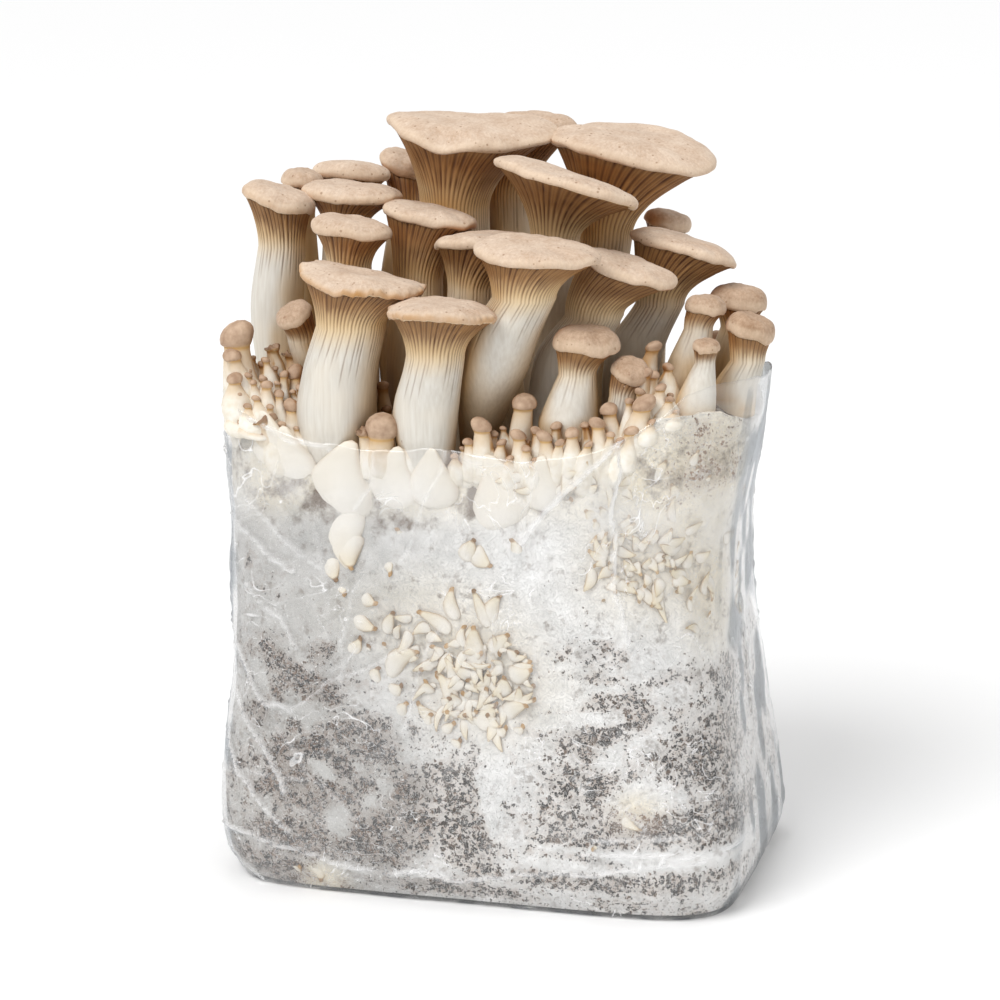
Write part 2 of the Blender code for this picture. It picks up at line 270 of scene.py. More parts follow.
def ground(x, y):
    """The height of the block's top, which is heaped up along its front, at its right end and at its left front."""
    front = FRONT_HEAP * np.maximum(smooth_step((x + 8) / 16), smooth_step((-34 - y) / 14))
    right = RIGHT_HEAP * smooth_step((x - 48) / 22)
    left = LEFT_HEAP * smooth_step((-x - 68) / 16) * smooth_step((24 - y) / 24)
    crown = CROWN * np.maximum(0, 1 - (x / 90) ** 2) * np.maximum(0, 1 - (y / 50) ** 2)
    return TOP_LEVEL + np.maximum(front, left) + right + crown


def turned(shares, sides):
    """A skin of rings about Z, one for each share of the way out, with its points' shares, turns and rows."""
    rows = len(shares) - 1
    bm = bmesh.new()
    bmesh.ops.create_grid(bm, x_segments=sides, y_segments=rows, size=1)
    flat = np.array([vert.co[:2] for vert in bm.verts])
    turn = (flat[:, 0] + 1) / 2 * math.tau
    row = np.round((flat[:, 1] + 1) / 2 * rows).astype(int)
    share = np.array(shares, float)[row]
    for vert, place in zip(bm.verts, np.column_stack((share * np.cos(turn), share * np.sin(turn), row)).tolist()):
        vert.co = place
    seam = (turn < 1e-3) | (turn > math.tau - 1e-3) | (share == 0)
    bmesh.ops.remove_doubles(bm, verts=[vert for vert, there in zip(bm.verts, seam) if there], dist=1e-4)
    x, y, z = np.array([vert.co[:] for vert in bm.verts]).T
    row = np.round(z).astype(int)
    return bm, np.array(shares, float)[row], np.arctan2(y, x) % math.tau, row


def shape(bm, points, **marks):
    """Moves a skin's points, and keeps named values at them for the material to read."""
    for vert, point in zip(bm.verts, points.tolist()):
        vert.co = point
    for name, values in marks.items():
        layer = bm.verts.layers.float.new(name)
        for vert, value in zip(bm.verts, np.broadcast_to(values, len(points)).tolist()):
            vert[layer] = value


def finish(name, bm, material, slot, *nodes):
    """Makes a piece in metres from a skin in millimetres. It rides on the body, and stands for the given nodes."""
    bmesh.ops.recalc_face_normals(bm, faces=bm.faces)
    bmesh.ops.scale(bm, vec=(MM, MM, MM), verts=bm.verts)
    mesh = bpy.data.meshes.new(name)
    bm.to_mesh(mesh)
    bm.free()
    mesh.shade_smooth()
    mesh.materials.append(material)
    piece = bpy.data.objects.new(name, mesh)
    bpy.context.scene.collection.objects.link(piece)
    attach(piece, BODY)
    if nodes:
        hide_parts(*nodes)
    return piece


# Patches on the front and on the back where the sawdust shows or the mycelium lies thick: x, z, half width, half
# height, tilt in degrees, and how much it adds to the mycelium's cover
FRONT_COVER = (
    (-75, 90, 9, 4, -28, -0.85), (-58, 96, 6, 5, 0, -0.60), (-60, 81, 11, 5, -20, -0.85),
    (-76, 77, 6, 2, -45, -0.70), (-84, 70, 4, 5, 0, -0.60), (-39, 65, 16, 10, 5, -0.70), (-68, 65, 4, 2, 0, -0.60),
    (-60, 58, 6, 4, 0, -0.90), (-72, 56, 6, 4, 0, -0.80), (-44, 50, 12, 3, -35, -0.90), (-71, 49, 8, 4, 0, -0.70),
    (-61, 41, 17, 6, -5, -0.75), (-62, 22, 17, 6, -8, -0.80), (-16, 47, 16, 7, 8, -0.80), (-8, 36, 18, 12, 0, -0.95),
    (-33, 25, 13, 10, 0, -0.70), (-77, 10, 14, 4, -15, -0.75), (51, 104, 15, 6, 0, -0.55), (50, 93, 6, 2, 0, -0.90),
    (55, 85, 12, 4, 8, -0.95), (79, 93, 10, 5, 0, -0.60), (53, 72, 9, 3, 12, -0.90), (45, 68, 10, 5, 0, -0.70),
    (44, 53, 12, 6, 8, -0.90), (66, 80, 5, 3, 0, -0.70), (88, 66, 23, 14, 0, -0.55), (50, 33, 20, 10, 0, -0.75),
    (81, 39, 11, 6, 0, -0.60), (97, 39, 8, 6, 0, -0.80), (54, 15, 30, 3, 0, -0.80), (96, 90, 6, 6, 0, -0.50),
    (6, 23, 8, 9, 0, -0.70), (-7, 7, 24, 3, 0, -0.70), (-82, 6, 5, 3, 0, -0.30), (7, 61, 5, 5, 0, -0.30),
    (90, 19, 12, 3, 0, -0.60), (-81, 122, 12, 9, 0, -0.45), (86, 180, 17, 14, 0, -0.80), (42, 128, 18, 12, 0, -0.30),
    (76, 163, 22, 7, 12, -0.62), (-86, 150, 10, 6, 0, -0.50), (-90, 130, 3, 5, 0, -0.50),
    (-78, 100, 12, 3, 0, -0.35), (-46, 54, 9, 2, -35, 0.80), (-57, 50, 6, 2, -35, 0.80), (-70, 72, 13, 2, -10, 0.60),
    (-84, 84, 9, 2, -45, 0.60), (-32, 45, 9, 4, 40, 0.70), (-50, 30, 4, 8, 0, 0.60), (-45, 75, 20, 5, 0, 0.50),
    (35, 85, 12, 3, 0, 0.70), (49, 89, 18, 2, 0, 0.60), (79, 90, 5, 2, 0, 0.60), (40, 77, 15, 2, 12, 0.80),
    (69, 72, 14, 5, 10, 0.30), (55, 63, 5, 5, 0, 0.50), (68, 27, 39, 2, -2, 0.80), (85, 23, 24, 2, -4, 0.70),
    (74, 50, 10, 4, 0, 0.45), (10, 50, 5, 23, 0, 0.90), (-55, 10, 7, 4, 0, 0.60), (-65, 64, 2, 8, -30, 0.30),
    (-78, 34, 2, 8, -20, 0.30), (-25, 66, 4, 12, 30, 0.40), (69, 55, 3, 8, -30, 0.30), (36, 21, 12, 2, 0, 0.50),
    (1, 90, 24, 17, 0, 0.45), (-14, 112, 26, 12, 0, 0.20), (-36, 92, 9, 9, 0, 0.25),
)
BACK_COVER = (
    (-30, 60, 45, 30, 10, -0.65), (50, 45, 40, 24, -8, -0.65), (10, 15, 70, 10, 0, -0.40),
    (60, 98, 26, 12, 0, -0.45), (-70, 105, 16, 14, 0, -0.35), (5, 80, 8, 30, 20, 0.50), (-60, 60, 20, 3, 15, 0.60),
    (30, 62, 26, 4, -12, 0.60), (70, 26, 30, 3, 4, 0.60),
)
# Where the felt is cream and the grains are brown, and where it is darkened, partly by dampness and partly as painted
# shade along the rim and in the gaps between the pressed feet, in the same way
FRONT_WARM = (
    (-14, 112, 32, 16, 0, 0.35), (8, 88, 28, 20, 0, 0.4), (70, 138, 26, 22, 0, 0.55), (92, 118, 10, 18, 0, 0.55),
    (-57, 5, 9, 8, 0, 0.8), (66, 43, 9, 7, 0, 0.8), (84, 174, 24, 20, 0, 0.95), (-82, 165, 16, 16, 0, 0.4),
    (-30, 158, 60, 9, 0, 0.5), (40, 164, 50, 8, 5, 0.4),
)
BACK_WARM = (
    (-20, 120, 30, 16, 0, 0.7), (45, 130, 24, 14, 0, 0.7),
)
FRONT_DAMP_AND_SHADE = (
    (-59, 153, 12, 6, -20, 0.7), (7, 159, 10, 5, 15, 0.7), (-30, 147, 14, 3, 0, 0.45), (-78, 158, 9, 4, 20, 0.4),
    (30, 163, 16, 3, 5, 0.5), (80, 172, 20, 9, 10, 0.22), (-14, 158, 8, 4, 0, 0.55), (-92, 163, 5, 8, 0, 0.35),
    (66, 172, 12, 4, -20, 0.35), (-37, 158, 3, 9, 0, 0.7), (-19, 160, 3, 8, 0, 0.6), (0, 160, 3, 9, 0, 0.7),
    (26, 160, 3, 7, 10, 0.6), (-58, 163, 3, 8, 0, 0.6),
)
# Where mushrooms pressed to the film have dented the felt, in the same way, each with its depth
FRONT_HOLLOWS = (
    (-46, 161, 15, 14, 0, 3.6), (-27, 166, 11, 12, -8, 3.0), (-11, 165, 12, 12, 0, 3.0), (12, 160, 15, 14, 0, 3.6),
    (-45, 140, 8, 11, 0, 2.0), (33, 169, 10, 11, 0, 2.4), (-66, 172, 11, 11, 0, 2.6), (-80, 176, 11, 11, 0, 2.6),
    (-95, 179, 9, 10, 0, 2.2), (-14, 111, 29, 13, -8, 1.2), (8, 88, 30, 24, 0, 1.2), (-35, 100, 14, 14, 0, 1.2),
    (70, 138, 28, 22, 0, 1.2), (92, 122, 12, 18, 0, 1.0),
)


def patches(points, front, back=()):
    """The sum of soft patches on the block's front and back at each point."""
    total = np.zeros(len(points))
    for side, rows in ((-1, front), (1, back)):
        on_side = smooth_step(points[:, 1] * side / 30)
        for x, z, half_wide, half_high, tilt, amount in rows:
            bend = math.radians(tilt)
            across, up = points[:, 0] - x, points[:, 2] - z
            along = (across * math.cos(bend) + up * math.sin(bend)) / half_wide
            over = (up * math.cos(bend) - across * math.sin(bend)) / half_high
            total += amount * np.exp(-0.7 * (along ** 2 + over ** 2) ** 1.5) * on_side
    return total


# Sawdust under mycelium: matte. A cloudy white felt lies over everything. Where it is thin it turns grey-brown, and
# the sawdust shows as dark bent grains 1 to 2 mm long between white strands. The felt's clouds are 6 to 8 mm wide,
# and its strands lie about 4 mm apart.
colonised_sawdust, tree, output = new_material("colonised_sawdust")
place = add(tree, "ShaderNodeTexCoord").outputs["Object"]
in_mm = add(tree, "ShaderNodeMapping", {"Vector": place, "Scale": (1000, 1000, 1000)})
cover, warm, wet, brown_side = [
    add(tree, "ShaderNodeAttribute", attribute_name=mark).outputs["Fac"]
    for mark in ("cover", "warm", "wet", "brown")]
broad = add(tree, "ShaderNodeTexNoise", {"Vector": in_mm, "Scale": 0.16, "Detail": 4.0, "Roughness": 0.7})
broad_part = add(tree, "ShaderNodeMapRange", (broad, 0.3, 0.7, -0.52, 0.52))
felt = add(tree, "ShaderNodeMath", (cover, broad_part), operation="ADD")
clouds = add(tree, "ShaderNodeTexNoise", {"Vector": in_mm, "Scale": 0.12, "Detail": 4.0})
felt_colour = add(tree, "ShaderNodeValToRGB", (clouds,), stops=((0.3, "#DDDDDB"), (0.7, "#FAFAF9"), (0.5, "#EDECEA")))
grey_felt = add(tree, "ShaderNodeMixRGB", (brown_side, "#FFFFFF", "#CDCCCA"))
sided_felt = add(tree, "ShaderNodeMixRGB", (1.0, felt_colour, grey_felt), blend_type="MULTIPLY")
warm_felt = add(tree, "ShaderNodeMixRGB", (warm, sided_felt, "#EFE4CB"))
wood_pick = add(tree, "ShaderNodeMixRGB", (brown_side, "#B9ABA0", "#7C6350"))
wood_share = add(tree, "ShaderNodeMapRange", (felt, -0.2, 0.6, 0.9, 0.0))
thinned = add(tree, "ShaderNodeMixRGB", (wood_share, warm_felt, wood_pick))
strands = add(tree, "ShaderNodeTexNoise", {"Vector": in_mm, "Scale": 0.26, "Detail": 3.0, "Distortion": 3.2})
off_strand = add(tree, "ShaderNodeMath", (strands, 0.5), operation="SUBTRACT")
from_strand = add(tree, "ShaderNodeMath", (off_strand,), operation="ABSOLUTE")
strand = add(tree, "ShaderNodeMapRange", (from_strand, 0.004, 0.026, 0.95, 0.0))
stir = add(tree, "ShaderNodeTexNoise", {"Vector": in_mm, "Scale": 0.8, "Detail": 1.0})
stirred = add(tree, "ShaderNodeVectorMath", (stir.outputs["Color"], (-0.5, -0.5, -0.5)), operation="ADD")
stir_size = add(tree, "ShaderNodeVectorMath", (stirred, (3.2, 3.2, 3.2)), operation="MULTIPLY")
grain_place = add(tree, "ShaderNodeVectorMath", (in_mm, stir_size), operation="ADD")
grains = add(tree, "ShaderNodeTexVoronoi", {"Vector": grain_place, "Scale": 0.62})
grain_pick = add(tree, "ShaderNodeSeparateColor", (grains.outputs["Color"],))
thin_share = add(tree, "ShaderNodeMapRange", (felt, -0.1, 0.9, 0.78, 0.0))
grain_vary = add(tree, "ShaderNodeMapRange", (grain_pick, 0.0, 1.0, -0.26, 0.08))
grain_size = add(tree, "ShaderNodeMath", (thin_share, grain_vary), operation="ADD")
grain_depth = add(tree, "ShaderNodeMath", (grain_size, grains.outputs["Distance"]), operation="SUBTRACT")
grain = add(tree, "ShaderNodeMapRange", (grain_depth, 0.0, 0.10, 0.0, 1.0))
grain_colour = add(tree, "ShaderNodeValToRGB", (grain_pick.outputs["Green"],), stops=(
    (0.0, "#120D0A"), (1.0, "#6E5A4A"), (0.5, "#231913"), (0.8, "#443424")))
browned = add(tree, "ShaderNodeMixRGB", (warm, grain_colour, "#8F6E4E"))
grained = add(tree, "ShaderNodeMixRGB", (grain, thinned, browned))
stranded = add(tree, "ShaderNodeMixRGB", (strand, grained, "#F4F3F1"))
# Painted shade and damp: dark brown along the rim, between the pressed feet, and over the open top
wet_edge = add(tree, "ShaderNodeMath", (wet, broad_part), operation="ADD", use_clamp=True)
wet_share = add(tree, "ShaderNodeMapRange", (wet_edge, 0.15, 0.75, 0.0, 0.9))
wetted = add(tree, "ShaderNodeMixRGB", (wet_share, stranded, "#5C4226"))
bump = add(tree, "ShaderNodeBump", {"Strength": 0.6, "Distance": 0.0005, "Height": strand})
shader = add(tree, "ShaderNodeBsdfPrincipled", {"Base Color": wetted, "Roughness": 0.85, "Normal": bump})
tree.links.new(shader.outputs["BSDF"], output.inputs["Surface"])

base_shares = [0, 0.5, 0.93, 0.99]
bm, share, turn, row = turned(
    base_shares + [1] * (BLOCK_ROWS + 1) + list(np.linspace(1, 0, BLOCK_TOP_ROWS + 1)[1:]), BLOCK_SIDES)
row = row - len(base_shares)
angle = np.interp(turn / math.tau * GIRTH, WALKED, WALK_ANGLES)
wall_x, wall_y = bag_outline(angle, TOP_LEVEL, BLOCK_INSET)
edge_wave = drift(np.stack([wall_x, wall_y, wall_x * 0], axis=-1), 13, 10)
climb = CLIMB * (0.8 + 0.9 * edge_wave) * smooth_step(np.abs(wall_y) / 40)
edge_height = ground(wall_x, wall_y) - EDGE_ROUND + climb
foot = BLOCK_FOOT + FOOT_ROUND[1]
height = foot + (edge_height - foot) * np.clip(row, 0, BLOCK_ROWS) / BLOCK_ROWS
x, y = bag_outline(angle, height, BLOCK_INSET)
points = np.stack([x * share, y * share, height], axis=-1)
top, base = row > BLOCK_ROWS, row < 0
points[top, 2] = ground(*points[top, :2].T) + (climb[top] - EDGE_ROUND) * smooth_step((share[top] - 0.84) / 0.16)
points[base, 2] = BLOCK_FOOT + np.where(row[base] == -1, FOOT_ROUND[0], 0)
dents = waves(points, FELT_WAVES, FELT_SINK) + np.clip(patches(points, FRONT_HOLLOWS), 0, 5)
inward = -points * (1, 1, 0) / np.maximum(np.hypot(points[:, 0], points[:, 1]), 1)[:, None]
points += inward * np.where(top | base, 0, np.maximum(dents, 0))[:, None]
points[top, 2] += waves(points[top], TOP_WAVES)
felt_cover = LOW_COVER + HIGH_COVER * smooth_step((points[:, 2] - COVER_FROM) / COVER_OVER)
felt_cover = waves(points, COVER_WAVES, felt_cover) + patches(points, FRONT_COVER, BACK_COVER)
# The open top inside its edge is darkened partly as damp sawdust and partly as painted shade under the mushrooms, and
# the block's left end is the browner one
damp_and_shade_marks = np.where(top, smooth_step((0.97 - share) / 0.12), patches(points, FRONT_DAMP_AND_SHADE))
shape(bm, points, cover=np.clip(felt_cover, 0, 1.3), wet=np.clip(damp_and_shade_marks, 0, 1),
      warm=np.clip(patches(points, FRONT_WARM, BACK_WARM), 0, 1),
      brown=smooth_step((10 - points[:, 0] + 30 * drift(points, 40, 9)) / 50))
finish("substrate_block_dressed", bm, colonised_sawdust, "colonised_sawdust", "substrate_block")


# The pressed young mushrooms
# Young mushrooms that sprouted between the block and the film. The film flattened them into soft white teardrops,
# each with its foot sunk in the felt, an ochre line along its edge, and a small round ochre head. On the pear-shaped
# feet the line along the edge is painted shade.

# Each pressed pin's foot, as x and z, its length, its width, and the way that its head points, in degrees
PRESSED_PINS = (
    (-3, 107, 15, 5.3, 149), (-1, 112, 13, 5.6, 95), (12, 110, 16, 4.5, 113), (13, 112, 12, 6.0, 70),
    (2, 102, 9, 3.8, 81), (8, 95, 16, 7.9, 95), (13, 101, 11, 6.0, 45), (-6, 98, 6, 3.0, 139),
    (1, 103, 6, 3.0, -168), (-1, 78, 16, 5.6, 116), (3, 87, 12, 4.9, 160), (17, 84, 9, 7.1, 76),
    (21, 92, 10, 7.1, 24), (10, 95, 4, 3.0, 15), (11, 83, 5, 3.8, 73), (28, 88, 4, 3.4, 35), (19, 77, 11, 6.4, 26),
    (10, 71, 12, 7.9, 58), (6, 81, 11, 3.2, 5), (-7, 73, 11, 4.9, 139), (-5, 69, 7, 3.8, 40), (2, 76, 6, 3.0, 169),
    (22, 83, 10, 2.2, 10), (-13, 83, 6, 6.0, 83), (18, 96, 7, 3.7, -147), (6, 77, 3, 3.4, -162),
    (6, 76, 4, 2.3, 40), (8, 87, 5, 3.0, 145), (6, 84, 4, 3.0, 163), (-5, 79, 5, 3.8, 47), (6, 99, 5, 3.4, 25),
    (21, 99, 5, 5.2, 41), (26, 100, 4, 3.4, -22), (16, 70, 6, 4.5, 37), (-1, 64, 5, 4.5, 42), (24, 71, 5, 3.4, 48),
    (-12, 71, 6, 3.8, 58), (-10, 94, 5, 3.4, -158), (16, 74, 5, 3.4, 132), (19, 103, 4, 3.4, -125),
    (1, 135, 10, 6.6, 60), (5, 139, 10, 7.0, -34), (-29, 105, 10, 4.7, 65), (-39, 119, 8, 5.2, -19),
    (-44, 141, 13, 9.9, -81), (-30, 132, 6, 3.8, -58), (-28, 89, 17, 7.6, 37), (-42, 110, 11, 5.7, -18),
    (-36, 98, 3, 1.9, 71), (-29, 99, 3, 1.9, 81), (-24, 143, 3, 2.1, 115), (-44, 97, 9, 4.8, 47),
    (-27, 83, 7, 5.2, 30), (-33, 86, 7, 4.8, 65), (-23, 74, 7, 4.8, 53), (-48, 123, 6, 5.7, -56),
    (22, 137, 8, 4.7, 107), (53, 153, 6, 4.5, 139), (58, 139, 10, 3.7, 122), (58, 140, 9, 3.1, 95),
    (58, 138, 9, 3.7, 154), (58, 137, 6, 3.1, -168), (61, 135, 4, 3.0, 132), (57, 122, 2, 1.9, 98),
    (64, 150, 6, 3.7, 68), (66, 147, 6, 4.4, 66), (75, 144, 6, 3.3, 71), (79, 143, 8, 4.4, 62),
    (78, 134, 5, 3.7, 66), (62, 129, 5, 3.7, 119), (97, 129, 7, 4.4, 113), (83, 131, 7, 5.2, -15),
    (92, 129, 9, 4.4, -93), (99, 110, 7, 4.4, 78), (78, 129, 9, 5.2, -116), (69, 126, 6, 5.6, 130),
    (87, 134, 7, 4.4, 78), (101, 152, 8, 4.4, 124), (102, 147, 7, 3.7, 89), (57, 154, 5, 3.7, 120),
    (62, 144, 5, 3.7, 54), (69, 137, 5, 4.4, -61), (74, 138, 6, 4.1, -53), (86, 128, 5, 4.1, -158),
    (81, 137, 4, 4.1, -42), (72, 127, 5, 4.1, -114), (97, 123, 6, 4.1, 127), (99, 131, 5, 3.7, 119),
    (54, 149, 5, 3.0, 111), (56, 149, 6, 3.0, -64), (71, 142, 5, 4.1, 41), (101, 120, 5, 3.7, 111),
    (101, 111, 5, 3.3, -118), (92, 114, 3, 2.2, 113), (42, 159, 3, 1.9, 58), (93, 170, 3, 2.9, 112),
    (94, 165, 4, 3.3, 70), (103, 140, 6, 3.3, 109), (59, 129, 4, 3.7, -50), (89, 122, 4, 3.7, 162),
    (82, 137, 5, 3.3, 145), (75, 132, 5, 4.1, -132),
    (65, 43, 9, 4, -40), (-66, 9, 6, 4, 20), (-57, 14, 10, 7, -85), (60, 30, 5, 3, 200), (-53, 132, 10, 7, -60),
    (78, 168, 9, 5, 60), (86, 160, 8, 4.5, 120), (92, 172, 7, 4, 80), (72, 178, 7, 4, 100), (98, 149, 7, 4, 70),
)
# Where smaller pins lie half buried between them: x, z, half width, half height, and how many. Their lengths and
# widths are drawn from the ranges below.
SMALL_PINS = (
    (9, 88, 19, 17, 46), (-16, 104, 12, 8, 8), (74, 139, 22, 15, 26), (94, 119, 8, 12, 8), (48, 166, 26, 5, 10),
)
SMALL_LENGTHS = (5, 11)
SMALL_WIDTHS = (2.6, 4.8)
# From here to the right the pins are creamier, with smaller and paler heads
FAR_RIGHT = 45
# Pear-shaped feet pressed to the film: x, lowest z, length, width, and the way that the neck points, in degrees
BULBS = (
    (-47, 147, 31, 26, 83), (-28, 152, 25, 19, 82), (-10, 153, 24, 20, 95), (13, 146, 30, 25, 97),
    (-45, 150, 22, 15, -88), (34, 155, 22, 16, 98), (-66, 159, 23, 17, 100), (-80, 163, 24, 17, 86),
    (-95, 167, 22, 14, 88),
)
# A flattened mushroom's form: its outline from the foot up, as shares of its width at shares of its length, the row
# that its head starts at, the points round it, how thick it is for its width, and how closely its narrow parts keep
# to the film
Form = namedtuple("Form", "shares rises head_from sides thick follow")
BULB = Form((0, 0.5, 0.8, 0.95, 1.0, 0.95, 0.81, 0.62, 0.44, 0.31, 0.2, 0),
            np.array((0, 0.03, 0.10, 0.20, 0.31, 0.43, 0.55, 0.67, 0.79, 0.89, 0.96, 1)), 12, 36, 0.32, 0.4)
# The outlines of a pin's teardrop and of the small round head that it ends in. The film presses it a little wider.
PETAL_SHARES = np.array((0, 0.6, 0.9, 1.0, 0.86, 0.6, 0.40))
PETAL_RISES = np.array((0, 0.04, 0.15, 0.33, 0.57, 0.80, 0.95))
PETAL_THICK = 0.36
PETAL_FOLLOW = 0.9
PETAL_WIDENS = 1.15
PETAL_SIDES = 12
SMALL_PETAL_SIDES = 8
HEAD_SHARES = np.array((0.9, 0.96, 0.6, 0))
HEAD_RISES = np.array((0.22, 0.6, 0.92, 1.0))
# How far inside the bag's outer form the film presses them flat
PRESS_INSET = 1.0


def along_front(x, height):
    """How far round the bag, from the middle of its front, a place on the front lies."""
    reach = np.where(x > 0, form_at(height)[1] / form_at(100)[1], form_at(height)[0] / form_at(100)[0])
    angles = np.linspace(math.pi, math.tau, 2001)
    middle = np.interp(FRONT_ANGLE, WALK_ANGLES, WALKED)
    return np.interp(x / reach, bag_outline(angles, 100)[0], np.interp(angles, WALK_ANGLES, WALKED)) - middle


def on_bag(way, height, inset):
    """The point of the bag's skin that lies so far round from the middle of its front."""
    walked = (np.asarray(way) + FRONT_WAY) % GIRTH
    x, y = bag_outline(np.interp(walked, WALKED, WALK_ANGLES), height, inset)
    return np.stack([x, y, np.broadcast_to(height, np.shape(x))], axis=-1)


def put_in(bm, skin):
    """Moves a small skin into a larger one, with the values named at its points."""
    mesh = bpy.data.meshes.new("skin")
    skin.to_mesh(mesh)
    skin.free()
    bm.from_mesh(mesh)
    bpy.data.meshes.remove(mesh)


def add_petal(bm, way, height, length, width, aim, form, sink, white, line, bold):
    """Adds one flattened mushroom, foot at its place, with its tip aimed round the bag's skin. It sinks into the felt
    towards its foot. White is how pale it is, and line and bold are how strongly its edge and head are tinted. On the
    pear-shaped feet the edge's tint is painted shade."""
    skin, share, turn, row = turned(form.shares, form.sides)
    rise = form.rises[row]
    across = share * np.cos(turn) * width / 2
    out = np.maximum(share * np.sin(turn), -0.5) * width / 2 * form.thick
    bend = 0.16 * min(length, 8 + width) * np.sin(rise * math.pi) * math.sin(way * 3.1 + height)
    step_way = rise * length * math.cos(aim) - (across + bend) * math.sin(aim)
    step_up = rise * length * math.sin(aim) + (across + bend) * math.cos(aim)
    back_off = width * form.thick / 2 * (1 - form.follow + form.follow * share)
    under = PRESS_INSET + sink * (1 - rise) ** 1.6 + back_off
    points = on_bag(way + step_way, height + step_up, under - out)
    shape(skin, points, foot=1 - rise, edge=line * smooth_step((0.75 - np.sin(turn)) / 0.6),
          head=bold * (row >= form.head_from), white=white)
    put_in(bm, skin)


def press_pin(bm, x, height, length, width, aim, sink, head_size, bold, sides):
    """Adds a pressed pin: a teardrop that ends in a small round head."""
    body = 1 - min(head_size / length, 0.7)
    head_share = min(head_size / width, 1)
    shares = np.concatenate([PETAL_SHARES, HEAD_SHARES * head_share])
    shares[1:len(PETAL_SHARES)] = np.maximum(shares[1:len(PETAL_SHARES)], 0.65 * head_share)
    rises = np.concatenate([PETAL_RISES * body, body + HEAD_RISES * (1 - body)])
    form = Form(shares, rises, len(PETAL_RISES), sides, PETAL_THICK, PETAL_FOLLOW)
    add_petal(bm, along_front(x, height), height, length, width * PETAL_WIDENS, math.radians(aim), form, sink,
              white=0.4 if x < FAR_RIGHT else 0.2, line=1.0, bold=bold)


# Young mushroom flesh: matte cream that turns as white as the felt at the foot, with a soft ochre line at each
# teardrop's edge and a dry brown-ochre head. On the pear-shaped feet the edge line is painted shade. Its mottle is
# about 7 mm wide.
pressed_flesh, tree, output = new_material("pressed_flesh")
place = add(tree, "ShaderNodeTexCoord").outputs["Object"]
head, edge, foot, white_part = [
    add(tree, "ShaderNodeAttribute", attribute_name=mark).outputs["Fac"]
    for mark in ("head", "edge", "foot", "white")]
mottle = add(tree, "ShaderNodeTexNoise", {"Vector": place, "Scale": 140.0, "Detail": 2.0})
cream = add(tree, "ShaderNodeValToRGB", (mottle,), stops=((0.35, "#DACBA8"), (0.65, "#E6DABF")))
whitened = add(tree, "ShaderNodeMixRGB", (white_part, cream, "#EAE3D5"))
foot_part = add(tree, "ShaderNodeMapRange", (foot, 0.15, 0.75, 0.0, 1.0))
footed = add(tree, "ShaderNodeMixRGB", (foot_part, whitened, "#EAE5DB"))
edge_part = add(tree, "ShaderNodeMapRange", (foot, 0.1, 0.9, 0.9, 0.35))
edge_share = add(tree, "ShaderNodeMath", (edge, edge_part), operation="MULTIPLY")
# The edge line is ochre on the pins and painted shade on the pear-shaped feet
edged_and_shaded = add(tree, "ShaderNodeMixRGB", (edge_share, footed, "#B08D5C"))
ochre = add(tree, "ShaderNodeValToRGB", (mottle,), stops=((0.4, "#7E5A30"), (0.6, "#B8905A")))
headed = add(tree, "ShaderNodeMixRGB", (head, edged_and_shaded, ochre))
shader = add(tree, "ShaderNodeBsdfPrincipled", {"Base Color": headed, "Roughness": 0.6})
tree.links.new(shader.outputs["BSDF"], output.inputs["Surface"])

draw = np.random.default_rng(21)
bm = bmesh.new()
for pin in PRESSED_PINS:
    far_right = pin[0] > FAR_RIGHT
    press_pin(bm, *pin, sink=1.3, head_size=1.4 if far_right else 1.8, bold=0.7 if far_right else 0.95,
              sides=PETAL_SIDES)
for x, z, half_wide, half_high, count in SMALL_PINS:
    for number in range(count):
        swing, spread = number * 2.4, math.sqrt((number + 0.5) / count)
        press_pin(bm, x + spread * half_wide * math.cos(swing), z + spread * half_high * math.sin(swing),
                  draw.uniform(*SMALL_LENGTHS), draw.uniform(*SMALL_WIDTHS), draw.uniform(0, 360), sink=1.8,
                  head_size=0.9, bold=draw.uniform(0.1, 0.7), sides=SMALL_PETAL_SIDES)
# The bulbs' edge line is painted shade at their sides
for x, z, length, width, aim in BULBS:
    add_petal(bm, along_front(x, z), z, length, width, math.radians(aim), BULB, sink=1.7, white=0.95, line=0.4,
              bold=0.0)
finish("pressed_young_mushrooms", bm, pressed_flesh, "young_flesh")


# The film bag
# Clear polypropylene film about 0.05 mm thick, filled to the shoulders, then cut open and folded down above the
# block. It clings to the moist mycelium, and its crushed folds catch the light as thin white lines, which are also
# painted into it as highlights.

# How many rows of points the film has, how high its foot is, how far inside the bag's outer form it lies, and how
# thick it is drawn
FILM_ROWS = 128
FILM_FOOT = 0.5
FILM_INSET = 0.5
FILM_WALL = 0.12
# The film's rim, as its height for each step round the bag from the right end, through the back, left and front
RIM_HEIGHTS = (
    201, 200, 199, 197, 194, 191, 188, 187, 186, 186, 187, 188, 190, 190, 190, 190,
    190, 191, 191, 191, 186, 179, 175, 177, 176, 175, 177, 185, 200, 204, 203, 202,
)
# How many columns of points each side of the bag has, as (from, to, columns). The last row ends the whole way round.
FILM_COLUMNS = ((0, 60, 34), (60, 265, 68), (265, 390, 56), (390, 595, 164), (595, 660, 38))
